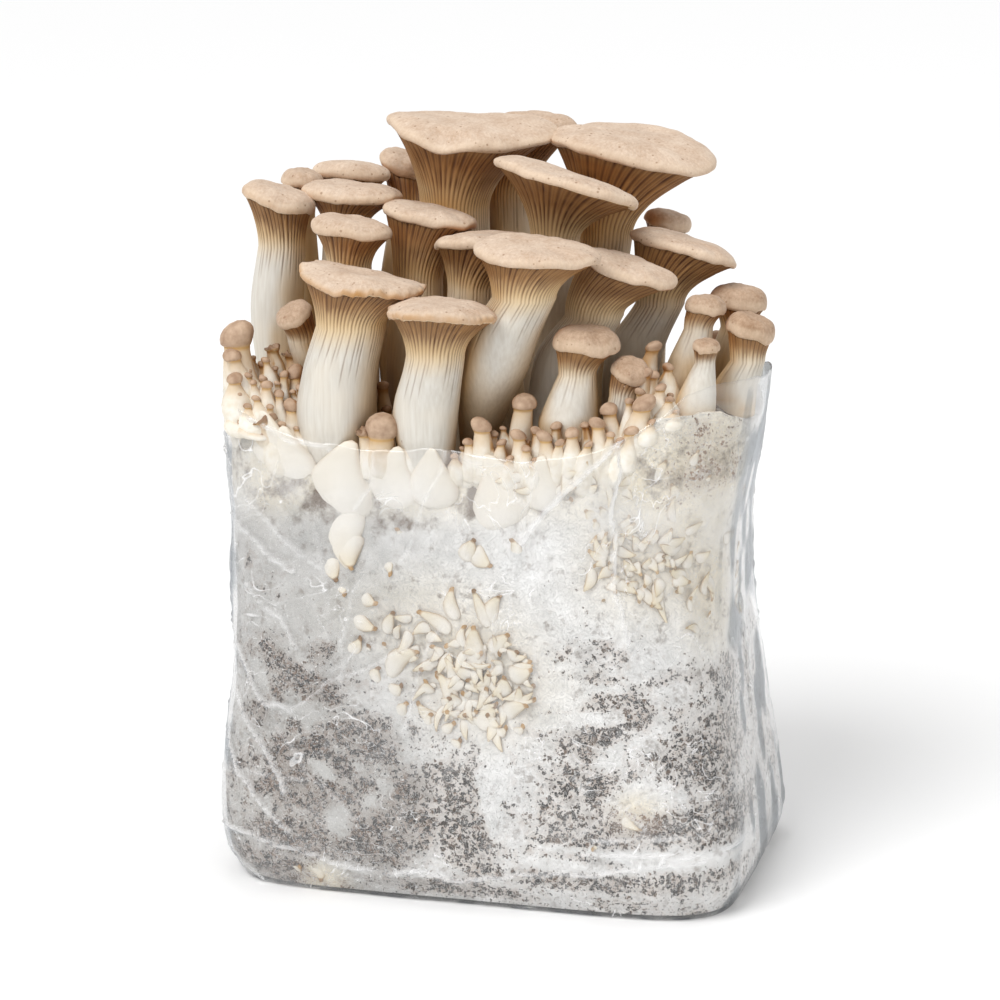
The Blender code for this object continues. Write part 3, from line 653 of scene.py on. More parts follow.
# The front's creases, each a run of (x, z) points, with its width and how far it stands out
FRONT_CREASES = (
    (((64, 186), (60, 155), (62, 118), (66, 107)), 1.3, 1.0),
    (((46, 169), (36, 158), (23, 145)), 2.4, 0.9),
    (((-95, 143), (-66, 126)), 1.5, 0.8),
    (((-93, 93), (-79, 76), (-65, 72)), 1.6, 0.9),
    (((-91, 75), (-78, 60), (-65, 42)), 1.6, 0.9),
    (((-96, 59), (-80, 37), (-64, 27)), 1.6, 0.9),
    (((-94, 22), (-65, 19), (-49, 14), (-25, 13), (-1, 13), (54, 19), (92, 26)), 1.5, 1.0),
    (((54, 31), (92, 37)), 1.3, 0.7),
    (((50, 26), (103, 29)), 1.5, 0.8),
    (((61, 49), (73, 38)), 1.3, 0.7),
    (((47, 56), (54, 51)), 1.2, 0.6),
    (((86, 204), (72, 192), (60, 180), (46, 169)), 1.6, 1.1),
    (((68, 169), (72, 148)), 1.0, 0.6),
    (((103, 113), (108, 68)), 1.8, 0.9),
    (((-97, 187), (-93, 176), (-96, 164)), 1.8, 1.0),
    (((-82, 182), (-66, 177), (-49, 173)), 1.3, 0.8),
    (((-92, 13), (-77, 1)), 1.6, 0.8),
    (((-88, 118), (-70, 108), (-62, 96)), 1.3, 0.6),
    (((-98, 102), (-88, 88)), 1.5, 0.7),
    (((20, 160), (31, 148), (38, 128)), 1.2, 0.5),
)
# The small creases between them: how many, and from what to what each one's middle height, half length, width and
# lift are drawn. Each runs near one of a few directions, in radians, and bends a little.
LOOSE_CREASES = 90
LOOSE_HEIGHTS = (4, 185)
LOOSE_REACHES = (8, 34)
LOOSE_WIDTHS = (0.9, 1.5)
LOOSE_LIFTS = (0.1, 0.5)
LOOSE_AIMS = (0.15, 0.7, 1.45, 2.3)
LOOSE_BENDS = (-0.25, 0.25)
# How crooked the creases run: each wave's reach, the width of its lumps, and its seed
ROUND_WAVES = ((1.8, 13, 17), (0.7, 5, 18))
UP_WAVES = ((1.8, 13, 19), (0.7, 5, 20))
# How far a full crease and a full ridge stand out, how slack the film is between them, and how much its rim waves
CREASE_STANDS = 1.3
RIDGE_STANDS = 0.35
SLACK_SHARE = 0.6
SLACK_WAVES = ((0.7, 26, 13), (0.35, 9, 14))
CRUMPLE_WAVES = ((0.4, 16, 24), (0.15, 6, 25))
RIM_WAVE = 0.8
# The band of mist under the rim, where the film is damp: its height, its reach up and down, and how white it is
MIST_LEVEL = 156
MIST_REACH = 13
MIST_WHITE = 0.16


def film_way(columns):
    """How far round the bag each column of points lies."""
    starts = [start + (end - start) * np.arange(count) / count for start, end, count in columns]
    return np.concatenate(starts) / columns[-1][1] * GIRTH


def crease_lines(ways, heights):
    """How far the creases lift the film at each point."""
    draw = np.random.default_rng(5)
    lines = [([(along_front(x, z), z) for x, z in run], width, lift) for run, width, lift in FRONT_CREASES]
    for _ in range(LOOSE_CREASES):
        way, height = draw.uniform(-GIRTH / 2, GIRTH / 2), draw.uniform(*LOOSE_HEIGHTS)
        aim = draw.choice(LOOSE_AIMS) + draw.uniform(*LOOSE_BENDS)
        reach = draw.uniform(*LOOSE_REACHES)
        bend = draw.uniform(*LOOSE_BENDS)
        run = [(way + reach * step * math.cos(aim + bend * step), height + reach * step * math.sin(aim + bend * step))
               for step in (-1, 0, 1)]
        lines.append((run, draw.uniform(*LOOSE_WIDTHS), draw.uniform(*LOOSE_LIFTS)))
    total = np.zeros(len(ways))
    flat = np.stack([ways, heights, ways * 0], axis=-1)
    ways = waves(flat, ROUND_WAVES, ways)
    heights = waves(flat, UP_WAVES, heights)
    for run, width, lift in lines:
        nearest = np.full(len(ways), 1e3)
        for (from_way, from_height), (to_way, to_height) in zip(run, run[1:]):
            step = np.array((to_way - from_way, to_height - from_height))
            gap = (ways - from_way + GIRTH / 2) % GIRTH - GIRTH / 2
            share = np.clip((gap * step[0] + (heights - from_height) * step[1]) / (step @ step), 0, 1)
            away = np.hypot(gap - share * step[0], heights - from_height - share * step[1])
            nearest = np.minimum(nearest, away)
        total = np.maximum(total, lift * np.exp(-(nearest / width / 0.5) ** 2))
    return total


# Polypropylene film: clear and thin, glossy, with white along its creases, partly stress marks and partly painted
# highlight, and a mist of droplets. Fine white fold lines, also partly painted highlight, lie about 20 mm apart
# between the creases, and a painted grey reflection darkens its edges where it is seen from the side.
bag_plastic, tree, output = new_material("polypropylene_film")
place = add(tree, "ShaderNodeTexCoord").outputs["Object"]
in_mm = add(tree, "ShaderNodeMapping", {"Vector": place, "Scale": (1000, 1000, 1000)})
haze, crumple, fold_there, streak = [
    add(tree, "ShaderNodeAttribute", attribute_name=mark).outputs["Fac"]
    for mark in ("haze", "crumple", "folded", "streak")]
facing = add(tree, "ShaderNodeLayerWeight", {"Blend": 0.5}).outputs["Facing"]
folds = add(tree, "ShaderNodeTexNoise", {"Vector": in_mm, "Scale": 0.045, "Detail": 2.0, "Distortion": 1.6})
off_fold = add(tree, "ShaderNodeMath", (folds, 0.5), operation="SUBTRACT")
from_fold = add(tree, "ShaderNodeMath", (off_fold,), operation="ABSOLUTE")
# Painted highlight, partly stress marks: thin white lines along the fine folds
fold = add(tree, "ShaderNodeMapRange", (from_fold, 0.001, 0.006, 0.42, 0.0))
fold_line = add(tree, "ShaderNodeMath", (fold, fold_there), operation="MULTIPLY")
misted_and_highlighted = add(tree, "ShaderNodeMath", (haze, fold_line), operation="ADD", use_clamp=True)
grazing = add(tree, "ShaderNodeMath", (facing, 4.0), operation="POWER")
# Painted reflection: the film turns grey where it is seen from the side
edge_on = add(tree, "ShaderNodeMapRange", (facing, 0.45, 0.9, 0.0, 0.8))
painted_grey_reflection = add(tree, "ShaderNodeMath", (streak, edge_on), operation="MULTIPLY")
clear_colour = add(tree, "ShaderNodeMixRGB", (painted_grey_reflection, "#FDFDFD", "#8F99A3"))
clear = add(tree, "ShaderNodeBsdfTransparent", {"Color": clear_colour})
bump = add(tree, "ShaderNodeBump", {"Strength": 0.7, "Distance": 0.0006, "Height": crumple})
gloss = add(tree, "ShaderNodeBsdfGlossy", {"Color": "#FFFFFF", "Roughness": 0.12, "Normal": bump})
sheen = add(tree, "ShaderNodeMapRange", (grazing, 0.0, 1.0, 0.04, 0.6))
wall = add(tree, "ShaderNodeMixShader", (sheen, clear, gloss))
white = add(tree, "ShaderNodeBsdfDiffuse", {"Color": "#FFFFFF"})
hazed = add(tree, "ShaderNodeMixShader", (misted_and_highlighted, wall, white))
tree.links.new(hazed.outputs[0], output.inputs["Surface"])

columns = film_way(FILM_COLUMNS)
base_shares = [0, 0.5, 0.9]
bm, share, turn, row = turned(base_shares + [1] * (FILM_ROWS + 1), len(columns))
row = row - len(base_shares)
column = np.round(turn / math.tau * len(columns)).astype(int) % len(columns)
way = columns[column]
angle = np.interp(way, WALKED, WALK_ANGLES)
rim = np.interp(angle, np.linspace(0, math.tau, len(RIM_HEIGHTS) + 1), RIM_HEIGHTS + RIM_HEIGHTS[:1])
rim += RIM_WAVE * drift(np.stack([way, way * 0, way * 0], axis=-1), 9, 11)
height = FILM_FOOT + (rim - FILM_FOOT) * np.clip(row, 0, FILM_ROWS) / FILM_ROWS
front_way = (way - FRONT_WAY + GIRTH / 2) % GIRTH - GIRTH / 2
lift = crease_lines(front_way, height)
skin = on_bag(front_way, height, 0)
ridges = 1 - np.abs(drift(skin * (1, 1, 1.8), 16, 12)) * 3
ridges = np.clip(ridges, 0, 1) ** 3
slack = waves(skin, SLACK_WAVES)
x, y = bag_outline(angle, height, FILM_INSET - CREASE_STANDS * lift - RIDGE_STANDS * ridges - slack * SLACK_SHARE)
points = np.stack([x * share, y * share, height], axis=-1)
mist = 0.01 + 0.06 * np.clip(drift(skin, 34, 15), 0, 1)
mist *= 0.6 + 0.4 * drift(skin, 5, 16)
damp_clouds = np.clip(0.5 + drift(skin, 10, 23), 0, 1) * smooth_step(-skin[:, 1] / 30)
mist += MIST_WHITE * np.exp(-((height - MIST_LEVEL) / MIST_REACH) ** 2) * damp_clouds
# Painted highlight, partly stress whitening: the creases whiten the film
shape(bm, points, haze=np.clip(mist + lift * 0.34 + ridges * 0.05, 0, 0.8),
      crumple=waves(skin, CRUMPLE_WAVES, 0.5), folded=smooth_step((drift(skin, 17, 21) + 0.05) / 0.3),
      streak=smooth_step((drift(skin * (1, 1, 0.4), 7, 22) + 0.1) / 0.4))
film = finish("bag_film_dressed", bm, bag_plastic, "clear_film", "bag_film")
wall = film.modifiers.new("film", "SOLIDIFY")
wall.thickness = FILM_WALL * MM
wall.offset = -1.0


# The grown mushrooms
# King oyster mushrooms: thick white fibrous stems, gills that run far down the flare below the cap, and dry tan caps
# with a rolled rim. Most grew crowded together from the block's open top and lean outwards.

# How thick a wide cap's rolled edge is and a narrow one's, and from what width on a cap is wide
EDGE_WIDE = 3.4
EDGE_NARROW = 2.6
WIDE_CAP = 28
# How deep a stem is rooted in the block, and how far out below its cap the gills end, as a share
ROOT = 4
LIP = 0.93

# A mushroom: its cap's centre, width and depth, the cap's lean to the right and to the back, its crown's height, its
# edge's wave and where that turns, and the stem's marks from the ground up: x, y, height, width
Mushroom = namedtuple("Mushroom", "centre width depth lean crown wave marks")

MUSHROOMS = (
    Mushroom((-92, 2, 258), 29, 26, (0.28, 0.05), 4.5, (0.6, 40),
             ((-90, 0, 178, 15), (-93, 1, 203, 19), (-93, 2, 222, 20), (-91, 2, 240, 17.5))),
    Mushroom((-90, 26, 261), 17, 16, (0.15, 0.00), 4.5, (0.3, 90),
             ((-84, 26, 166, 11), (-88, 26, 205, 12), (-89, 26, 247, 8))),
    Mushroom((-66, 15, 259), 40, 28, (0.05, 0.02), 3.6, (0.9, 60),
             ((-63, 15, 150, 15), (-70, 15, 200, 19), (-70, 16, 235, 17), (-69, 16, 246, 18))),
    Mushroom((-75, 43, 262), 32, 20, (0.02, 0.12), 4.2, (0.4, 10),
             ((-70, 38, 150, 13), (-74, 41, 205, 16), (-75, 42, 248, 14))),
    Mushroom((-58, 58, 264), 20, 18, (0.40, -0.20), 4.5, (0.4, 30),
             ((-54, 42, 150, 14), (-57, 44, 205, 15), (-56, 54, 244, 12))),
    Mushroom((-57, -16, 251), 32, 22, (0.10, 0.02), 3.8, (0.7, 80),
             ((-56, -8, 150, 14), (-58, -10, 195, 18), (-59, -14, 236, 17))),
    Mushroom((-46, -39, 236), 49, 34, (0.14, 0.02), 2.6, (1.3, 60),
             ((-57, -35, 154, 23), (-58, -37, 180, 31), (-56, -38, 200, 29), (-51, -39, 219, 26.5))),
    Mushroom((-77, -28, 219), 15, 14, (-0.50, -0.55), 3.5, (0.2, 0),
             ((-70, -13, 160, 13), (-72, -17, 188, 13), (-75.5, -23, 208, 11))),
    Mushroom((-32, 6, 253), 38, 24, (0.17, 0.06), 3.4, (0.9, 70),
             ((-38, 5, 150, 20), (-38, 5, 195, 23), (-37, 6, 228, 19))),
    Mushroom((-12, -54, 229), 41, 28, (0.02, 0.00), 3.0, (1.0, 130),
             ((-20, -42, 154, 17), (-21, -43, 181, 23.5), (-20, -44, 193, 24), (-15.5, -48, 211, 22))),
    Mushroom((-24, 30, 283), 68, 46, (0.05, -0.06), 4.6, (2.0, 20),
             ((-27, 36, 150, 19), (-29, 35, 205, 26), (-29.5, 33, 252, 26.5))),
    Mushroom((-3, 60, 281), 33, 19, (0.04, -0.05), 4.5, (0.5, 60),
             ((-8, 47, 150, 14), (-10, 48, 205, 18), (-13, 54, 255, 20))),
    Mushroom((-5, -9, 246), 44, 24, (0.02, 0.05), 4.0, (1.2, 150),
             ((-15, 0, 152, 16), (-15, -1, 195, 20), (-13, -5, 228, 18.5))),
    Mushroom((21, -36, 249), 49, 30, (0.06, -0.12), 3.8, (0.8, 95),
             ((-9, -17, 164, 10), (-4, -22, 184, 19), (1, -27, 201, 26), (7, -31, 218, 27),
              (15, -34, 232, 24))),
    Mushroom((49, -8, 239), 38, 27, (0.30, 0.05), 4.0, (0.8, 45),
             ((18, -5, 158, 18), (21, -5, 186, 23), (27, -7, 206, 25), (36, -8, 221, 22))),
    Mushroom((24, -2, 270), 58, 38, (0.28, 0.20), 3.6, (1.1, 75),
             ((10, 25, 156, 17), (11, 25, 205, 21), (15, 16, 244, 19))),
    Mushroom((40, 36, 278), 65, 44, (0.14, -0.10), 5.2, (1.7, 160),
             ((25, 38, 160, 16), (26, 38, 205, 19), (30, 36.5, 243, 21))),
    Mushroom((65, 20, 243), 43, 28, (0.26, 0.12), 3.6, (0.9, 100),
             ((41, 21, 164, 18), (45, 21, 200, 22), (55, 21, 221, 19))),
    Mushroom((52, 49, 247), 19, 16, (0.25, 0.05), 4.2, (0.3, 30),
             ((46, 46, 160, 10), (47, 46, 205, 12), (50, 48, 234, 9))),
    Mushroom((38, -31, 214), 26, 22, (0.03, 0.00), 7.2, (0.3, 0),
             ((31, -33, 162, 17), (32, -33, 183, 22), (33, -32, 191, 20), (35, -31, 203, 14))),
    Mushroom((55, -31, 205), 15, 14, (0.35, -0.40), 4.0, (0.2, 0),
             ((50, -33, 164, 11), (51, -33, 183, 11.5), (53, -32, 196, 11))),
    Mushroom((78, -4, 225), 16, 14, (0.05, 0.00), 4.4, (0.2, 0),
             ((69, -7, 184, 18), (71.5, -6, 201, 17), (75.5, -5, 217, 11))),
    Mushroom((86, 20, 223), 23, 20, (0.08, 0.00), 6.0, (0.2, 0),
             ((82, 19, 184, 18), (84, 20, 202, 17), (86, 20, 213, 13))),
    Mushroom((95, -4, 217), 19, 17, (0.32, 0.00), 6.4, (0.2, 0),
             ((88, -2, 184, 18), (90, -4, 196, 17), (94.5, -5, 206, 13.5))),
    Mushroom((82, -22, 214), 10.5, 10, (0.05, -0.05), 2.6, (0.1, 0),
             ((77, -25, 184, 17), (79, -24, 196, 14), (81.5, -22, 208, 7.5))),
)

# Caps that are not plain: the number, and the dry ochre rim's share
DRY_RIMS = {7: 1.0, 10: 0.8, 3: 0.3, 1: 0.3}
# How dark each small cap is, from 0 to 1. The wide caps are pale.
DARK_CAPS = {8: 0.7, 20: 0.75, 21: 0.8, 22: 0.7, 23: 0.75, 24: 0.95, 25: 0.8,
             2: 0.35, 5: 0.3, 6: 0.2, 12: 0.2, 19: 0.2}
# Stems whose painted shade is weakened by these factors, as more light reaches them than their neighbours let through
LIT_STEMS = {13: 0.8, 15: 0.45, 16: 0.7, 18: 0.55}
# Dents and folds in the caps: the number, the angle round the cap, the share out, how wide, and how deep
CAP_DENTS = (
    (11, 262, 0.95, 0.20, -2.2), (11, 225, 0.80, 0.25, 1.2), (11, 300, 0.85, 0.25, 0.9),
    (17, 70, 0.55, 0.20, -1.4), (17, 200, 0.60, 0.30, 0.8), (16, 250, 0.60, 0.30, -1.0),
    (7, 250, 0.80, 0.25, -1.2), (7, 190, 0.90, 0.20, 1.0), (10, 200, 0.80, 0.30, -1.3),
    (14, 300, 0.50, 0.35, -0.8), (13, 180, 0.70, 0.30, -1.0), (15, 270, 0.60, 0.30, -1.0),
    (18, 280, 0.60, 0.30, -0.9), (9, 250, 0.60, 0.30, -0.8), (3, 260, 0.60, 0.30, -0.7),
)


def axes_of(normal):
    """Two directions square to a normal, the first as near to +X as can be."""
    across = np.array((1, 0, 0)) - normal * normal[0]
    across /= np.linalg.norm(across)
    return across, np.cross(normal, across)


def ring_at(angle):
    """The points of a flat ring about Z, one unit out."""
    return np.stack([np.cos(angle), np.sin(angle), 0 * angle], axis=-1)


def on_cap(mushroom, angle, share, rise):
    """The points of a cap at each angle, share of the way out to its edge, and rise off its plane."""
    normal = np.array((*mushroom.lean, 1.0))
    normal /= np.linalg.norm(normal)
    across, along = axes_of(normal)
    lift, turn = mushroom.wave
    bend = angle + math.radians(turn)
    ring = ring_at(angle)
    spread = 1 + 0.03 * lift * np.sin(3 * bend) + 0.03 * drift(ring * 4 + mushroom.width, 1.7, 31)
    spread += 0.012 * drift(ring * 9 + mushroom.depth, 1.7, 33)
    out = (np.cos(angle)[:, None] * across * mushroom.width + np.sin(angle)[:, None] * along * mushroom.depth) / 2
    height = rise + (lift * np.sin(2 * bend) + 0.9 * drift(ring * 3 + mushroom.depth, 1.3, 32)
                     + 0.45 * drift(ring * 7 + mushroom.width, 1.3, 34)) * share ** 2
    return np.array(mushroom.centre) + out * (share * spread)[:, None] + normal * height[:, None]


def fibonacci(count):
    """Directions spread evenly over a sphere."""
    height = 1 - (np.arange(count) + 0.5) * 2 / count
    swing = np.arange(count) * math.pi * (3 - math.sqrt(5))
    flat = np.sqrt(1 - height ** 2)
    return np.stack([flat * np.cos(swing), flat * np.sin(swing), height], axis=-1)


def solid_mushrooms():
    """The solids of the mushrooms and the block, in millimetres, to look for what stands near a point."""
    points, faces = [], []
    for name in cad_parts:
        if name != "bag_film":
            mesh = bpy.data.objects[name].data
            first = len(points)
            points += [vert.co / MM for vert in mesh.vertices]
            faces += [[first + corner for corner in face.vertices] for face in mesh.polygons]
    return BVHTree.FromPolygons(points, faces)


# What walls a point in is looked for along these directions, from just off the skin and up to a reach away, at so
# many places round the skin and down it. What stands at the end of the reach counts less than what stands near. The
# materials darken each skin by it as painted shade.
LOOKS = [Vector(look) for look in fibonacci(44)]
NEARBY = solid_mushrooms()
OFF_SKIN = 1.5
REACH = 75
FAR_LOSS = 0.6
FLAT_LOOK = 0.15
CROWD_TURNS = 14
CROWD_ROWS = 16


def crowding(bm, turn, row, sides):
    """How closely each point of a turned skin is walled in by its neighbours, from 0 to 1. It is looked for at a few
    places of the skin and spread between them."""
    bmesh.ops.recalc_face_normals(bm, faces=bm.faces)
    bm.normal_update()
    bm.verts.ensure_lookup_table()
    rows = row.max() + 1
    column = np.round(turn / math.tau * sides).astype(int) % sides
    index = np.zeros((rows, sides), int)
    for pole in (0, rows - 1):
        index[pole] = np.flatnonzero(row == pole)[0]
    index[row, column] = np.arange(len(row))
    few_rows = np.unique(np.linspace(0, rows - 1, min(CROWD_ROWS, rows)).astype(int))
    few_columns = (np.arange(CROWD_TURNS) * sides / CROWD_TURNS).astype(int)
    walls = np.zeros((len(few_rows), CROWD_TURNS + 1))
    for down, at_row in enumerate(few_rows):
        for along, at_column in enumerate(few_columns):
            vert = bm.verts[index[at_row, at_column]]
            seen = blocked = 0.0
            for look in LOOKS:
                weight = look.dot(vert.normal)
                if weight > FLAT_LOOK:
                    seen += weight
                    hit, facing, _, away = NEARBY.ray_cast(vert.co + vert.normal * OFF_SKIN, look, REACH)
                    if hit and facing.dot(look) < 0:
                        blocked += weight * (1 - FAR_LOSS * away / REACH)
            walls[down, along] = blocked / seen
    walls[:, -1] = walls[:, 0]
    at_row = np.interp(row, few_rows, np.arange(len(few_rows)))
    at_column = column / sides * CROWD_TURNS
    low_row = np.minimum(at_row.astype(int), len(few_rows) - 2)
    low_column = at_column.astype(int)
    part_row, part_column = at_row - low_row, at_column - low_column
    near = walls[low_row, low_column] * (1 - part_column) + walls[low_row, low_column + 1] * part_column
    far = walls[low_row + 1, low_column] * (1 - part_column) + walls[low_row + 1, low_column + 1] * part_column
    return near * (1 - part_row) + far * part_row


def through(rows, count):
    """A smooth run of points through the given ones."""
    rows = np.array(rows, float)
    ends = np.vstack((2 * rows[0] - rows[1], rows, 2 * rows[-1] - rows[-2]))
    at = np.linspace(0, len(rows) - 1, count)
    low = np.minimum(at.astype(int), len(rows) - 2)
    part = (at - low)[:, None]
    a, b, c, d = (ends[low + shift] for shift in range(4))
    return b + part * ((c - a) / 2 + part * (a - 2.5 * b + 2 * c - d / 2 + part * ((d - a) / 2 + 1.5 * (b - c))))


# Cap skin: dry and matte like suede, tan with a paler rolled rim, fine fibres that run out to the rim, dark specks.
# Where its neighbours wall it in, it is darkened to brown by painted shade. The fibres are 0.6 mm wide and 5 mm
# long, the mottle is 1 mm wide, the blotches are 9 mm wide, and the specks lie 2 mm apart or more.
cap_skin, tree, output = new_material("cap_skin")
place = add(tree, "ShaderNodeTexCoord").outputs["Object"]
rim_part, dark_part, dry_part, under_part, shade_part = [
    add(tree, "ShaderNodeAttribute", attribute_name=mark).outputs["Fac"]
    for mark in ("rim", "dark", "dry", "under", "shade")]
fibre_place = add(tree, "ShaderNodeUVMap", uv_map="fibres")
fibre_map = add(tree, "ShaderNodeMapping", {"Vector": fibre_place, "Scale": (1.0, 0.12, 1.0)})
fibres = add(tree, "ShaderNodeTexNoise", {"Vector": fibre_map, "Scale": 1.6, "Detail": 2.0})
mottle = add(tree, "ShaderNodeTexNoise", {"Vector": place, "Scale": 850.0, "Detail": 3.0, "Roughness": 0.6})
blotch = add(tree, "ShaderNodeTexNoise", {"Vector": place, "Scale": 110.0, "Detail": 3.0, "Roughness": 0.6})
tone = add(tree, "ShaderNodeMath", (mottle, blotch), operation="ADD")
half_tone = add(tree, "ShaderNodeMath", (tone, 0.5), operation="MULTIPLY")
pale_tan = add(tree, "ShaderNodeValToRGB", {"Fac": half_tone}, stops=((0.36, "#BFA38A"), (0.64, "#DAC5B0")))
dark_tan = add(tree, "ShaderNodeValToRGB", {"Fac": half_tone}, stops=((0.36, "#987759"), (0.64, "#C0A287")))
tan = add(tree, "ShaderNodeMixRGB", (dark_part, pale_tan, dark_tan))
fibre_tone = add(tree, "ShaderNodeMapRange", (fibres, 0.3, 0.7, 0.93, 1.05))
fibred = add(tree, "ShaderNodeMixRGB", (1.0, tan, fibre_tone), blend_type="MULTIPLY")
rimmed = add(tree, "ShaderNodeMixRGB", (rim_part, fibred, "#E2CBB0"))
dried = add(tree, "ShaderNodeMixRGB", (dry_part, rimmed, "#B98544"))
below = add(tree, "ShaderNodeMixRGB", (under_part, dried, "#DCC5A0"))
specks = add(tree, "ShaderNodeTexVoronoi", {"Vector": place, "Scale": 480.0})
speck_pick = add(tree, "ShaderNodeSeparateColor", (specks.outputs["Color"],))
speck_size = add(tree, "ShaderNodeMapRange", (speck_pick, 0.45, 1.0, 0.0, 0.32))
speck_depth = add(tree, "ShaderNodeMath", (speck_size, specks.outputs["Distance"]), operation="SUBTRACT")
speck = add(tree, "ShaderNodeMapRange", (speck_depth, 0.0, 0.1, 0.0, 0.6))
specked = add(tree, "ShaderNodeMixRGB", (speck, below, "#8A6446"))
# Painted shade: brown darkening where the neighbours wall the cap in
shade_tint = add(tree, "ShaderNodeValToRGB", (shade_part,), stops=(
    (0.40, "#FFFFFF"), (1.0, "#74481C"), (0.78, "#D4AE88")))
shaded = add(tree, "ShaderNodeMixRGB", (1.0, specked, shade_tint), blend_type="MULTIPLY")
bump = add(tree, "ShaderNodeBump", {"Strength": 0.5, "Distance": 0.0003, "Height": tone})
shader = add(tree, "ShaderNodeBsdfPrincipled", {
    "Base Color": shaded, "Roughness": 0.75, "Sheen Weight": 0.1, "Sheen Roughness": 0.5, "Normal": bump})
tree.links.new(shader.outputs["BSDF"], output.inputs["Surface"])

# Stem flesh: smooth white fibres along the stem, and cream gills on the flare with gaps that are ochre and partly
# dark brown painted shade. Painted shade darkens the flare under the cap, and darkens the stem to a deep orange brown
# where its neighbours wall it in. The fibres are 1 mm wide and 18 mm long.
stem_flesh, tree, output = new_material("stem_flesh")
place = add(tree, "ShaderNodeTexCoord").outputs["Object"]
gap_part, gilled_part, foot_part, shade_part, under_part = [
    add(tree, "ShaderNodeAttribute", attribute_name=mark).outputs["Fac"]
    for mark in ("gap", "gilled", "foot", "shade", "under")]
fibre_map = add(tree, "ShaderNodeMapping", {"Vector": place, "Scale": (1000, 1000, 60)})
fibres = add(tree, "ShaderNodeTexNoise", {"Vector": fibre_map, "Scale": 0.9, "Detail": 2.0})
clouds = add(tree, "ShaderNodeTexNoise", {"Vector": place, "Scale": 60.0, "Detail": 1.0})
white = add(tree, "ShaderNodeValToRGB", {"Fac": fibres}, stops=((0.3, "#CEC8BD"), (0.7, "#DAD6CD")))
cloud_share = add(tree, "ShaderNodeMapRange", (clouds, 0.45, 0.75, 0.0, 0.35))
clouded = add(tree, "ShaderNodeMixRGB", (cloud_share, white, "#E4D8C4"))
footed = add(tree, "ShaderNodeMixRGB", (foot_part, clouded, "#D2B58A"))
gill_cream = add(tree, "ShaderNodeMixRGB", (gilled_part, footed, "#DBC094"))
# The gaps' dark brown is partly painted shade in the grooves between the gills
gapped = add(tree, "ShaderNodeMixRGB", (gap_part, gill_cream, "#633A10"))
shade_tint = add(tree, "ShaderNodeValToRGB", (shade_part,), stops=(
    (0.2, "#FFFFFF"), (1.0, "#825224"), (0.5, "#F7E7D2"), (0.80, "#EDCEA2")))
shaded = add(tree, "ShaderNodeMixRGB", (1.0, gapped, shade_tint), blend_type="MULTIPLY")
# Painted shade on the flare under the cap
shaded_under_cap = add(tree, "ShaderNodeMixRGB", (under_part, shaded, "#B08A56"), blend_type="MULTIPLY")
bump = add(tree, "ShaderNodeBump", {"Strength": 0.22, "Distance": 0.0004, "Height": fibres})
shader = add(tree, "ShaderNodeBsdfPrincipled", {"Base Color": shaded_under_cap, "Roughness": 0.6, "Normal": bump})
tree.links.new(shader.outputs["BSDF"], output.inputs["Surface"])

# Gills stand about a millimetre apart. They are drawn 1.4 mm apart, so that they show.
GILL_PITCH = 1.4
GILL_STEPS = 8
FEW_GILL_STEPS = 6
# The gaps between the gills, as shares of the way from one to the next: at the neck, how much wider at the cap, and
# the second set's width and strength
GAP_WIDTH = 0.20
GAP_WIDENS = 0.07
SECOND_WIDTH = 0.13
SECOND_STRENGTH = 0.55
# No stem has fewer gills than this
LEAST_GILLS = 12
CAP_ROWS = 26
# A cap's underside and rolled rim, from its middle outwards: the share of the way out, and of half its edge down
RIM_OUTLINE = ((0, 1), (0.5, 1), (0.88, 1), (0.94, 1), (0.975, 0.8), (0.994, 0.4))
# Below its flare a stem has a row of points every so many millimetres, and at least so many rows. A mark less than
# this above its root is left out.
STEM_STEP = 3
LEAST_ROWS = 14
LEAST_APART = 7
# How finely a mushroom is made: the least width of its cap, the points round the cap, and the rows up the flare
FINENESS = ((36, 120, 30), (20, 72, 22), (0, 48, 14))


def edge_of(mushroom):
    """How thick a cap's rolled edge is."""
    return EDGE_WIDE if mushroom.width >= WIDE_CAP else EDGE_NARROW


def fineness(mushroom):
    """The points round a mushroom's cap and the rows up its flare."""
    return next(counts for least, *counts in FINENESS if mushroom.width >= least)


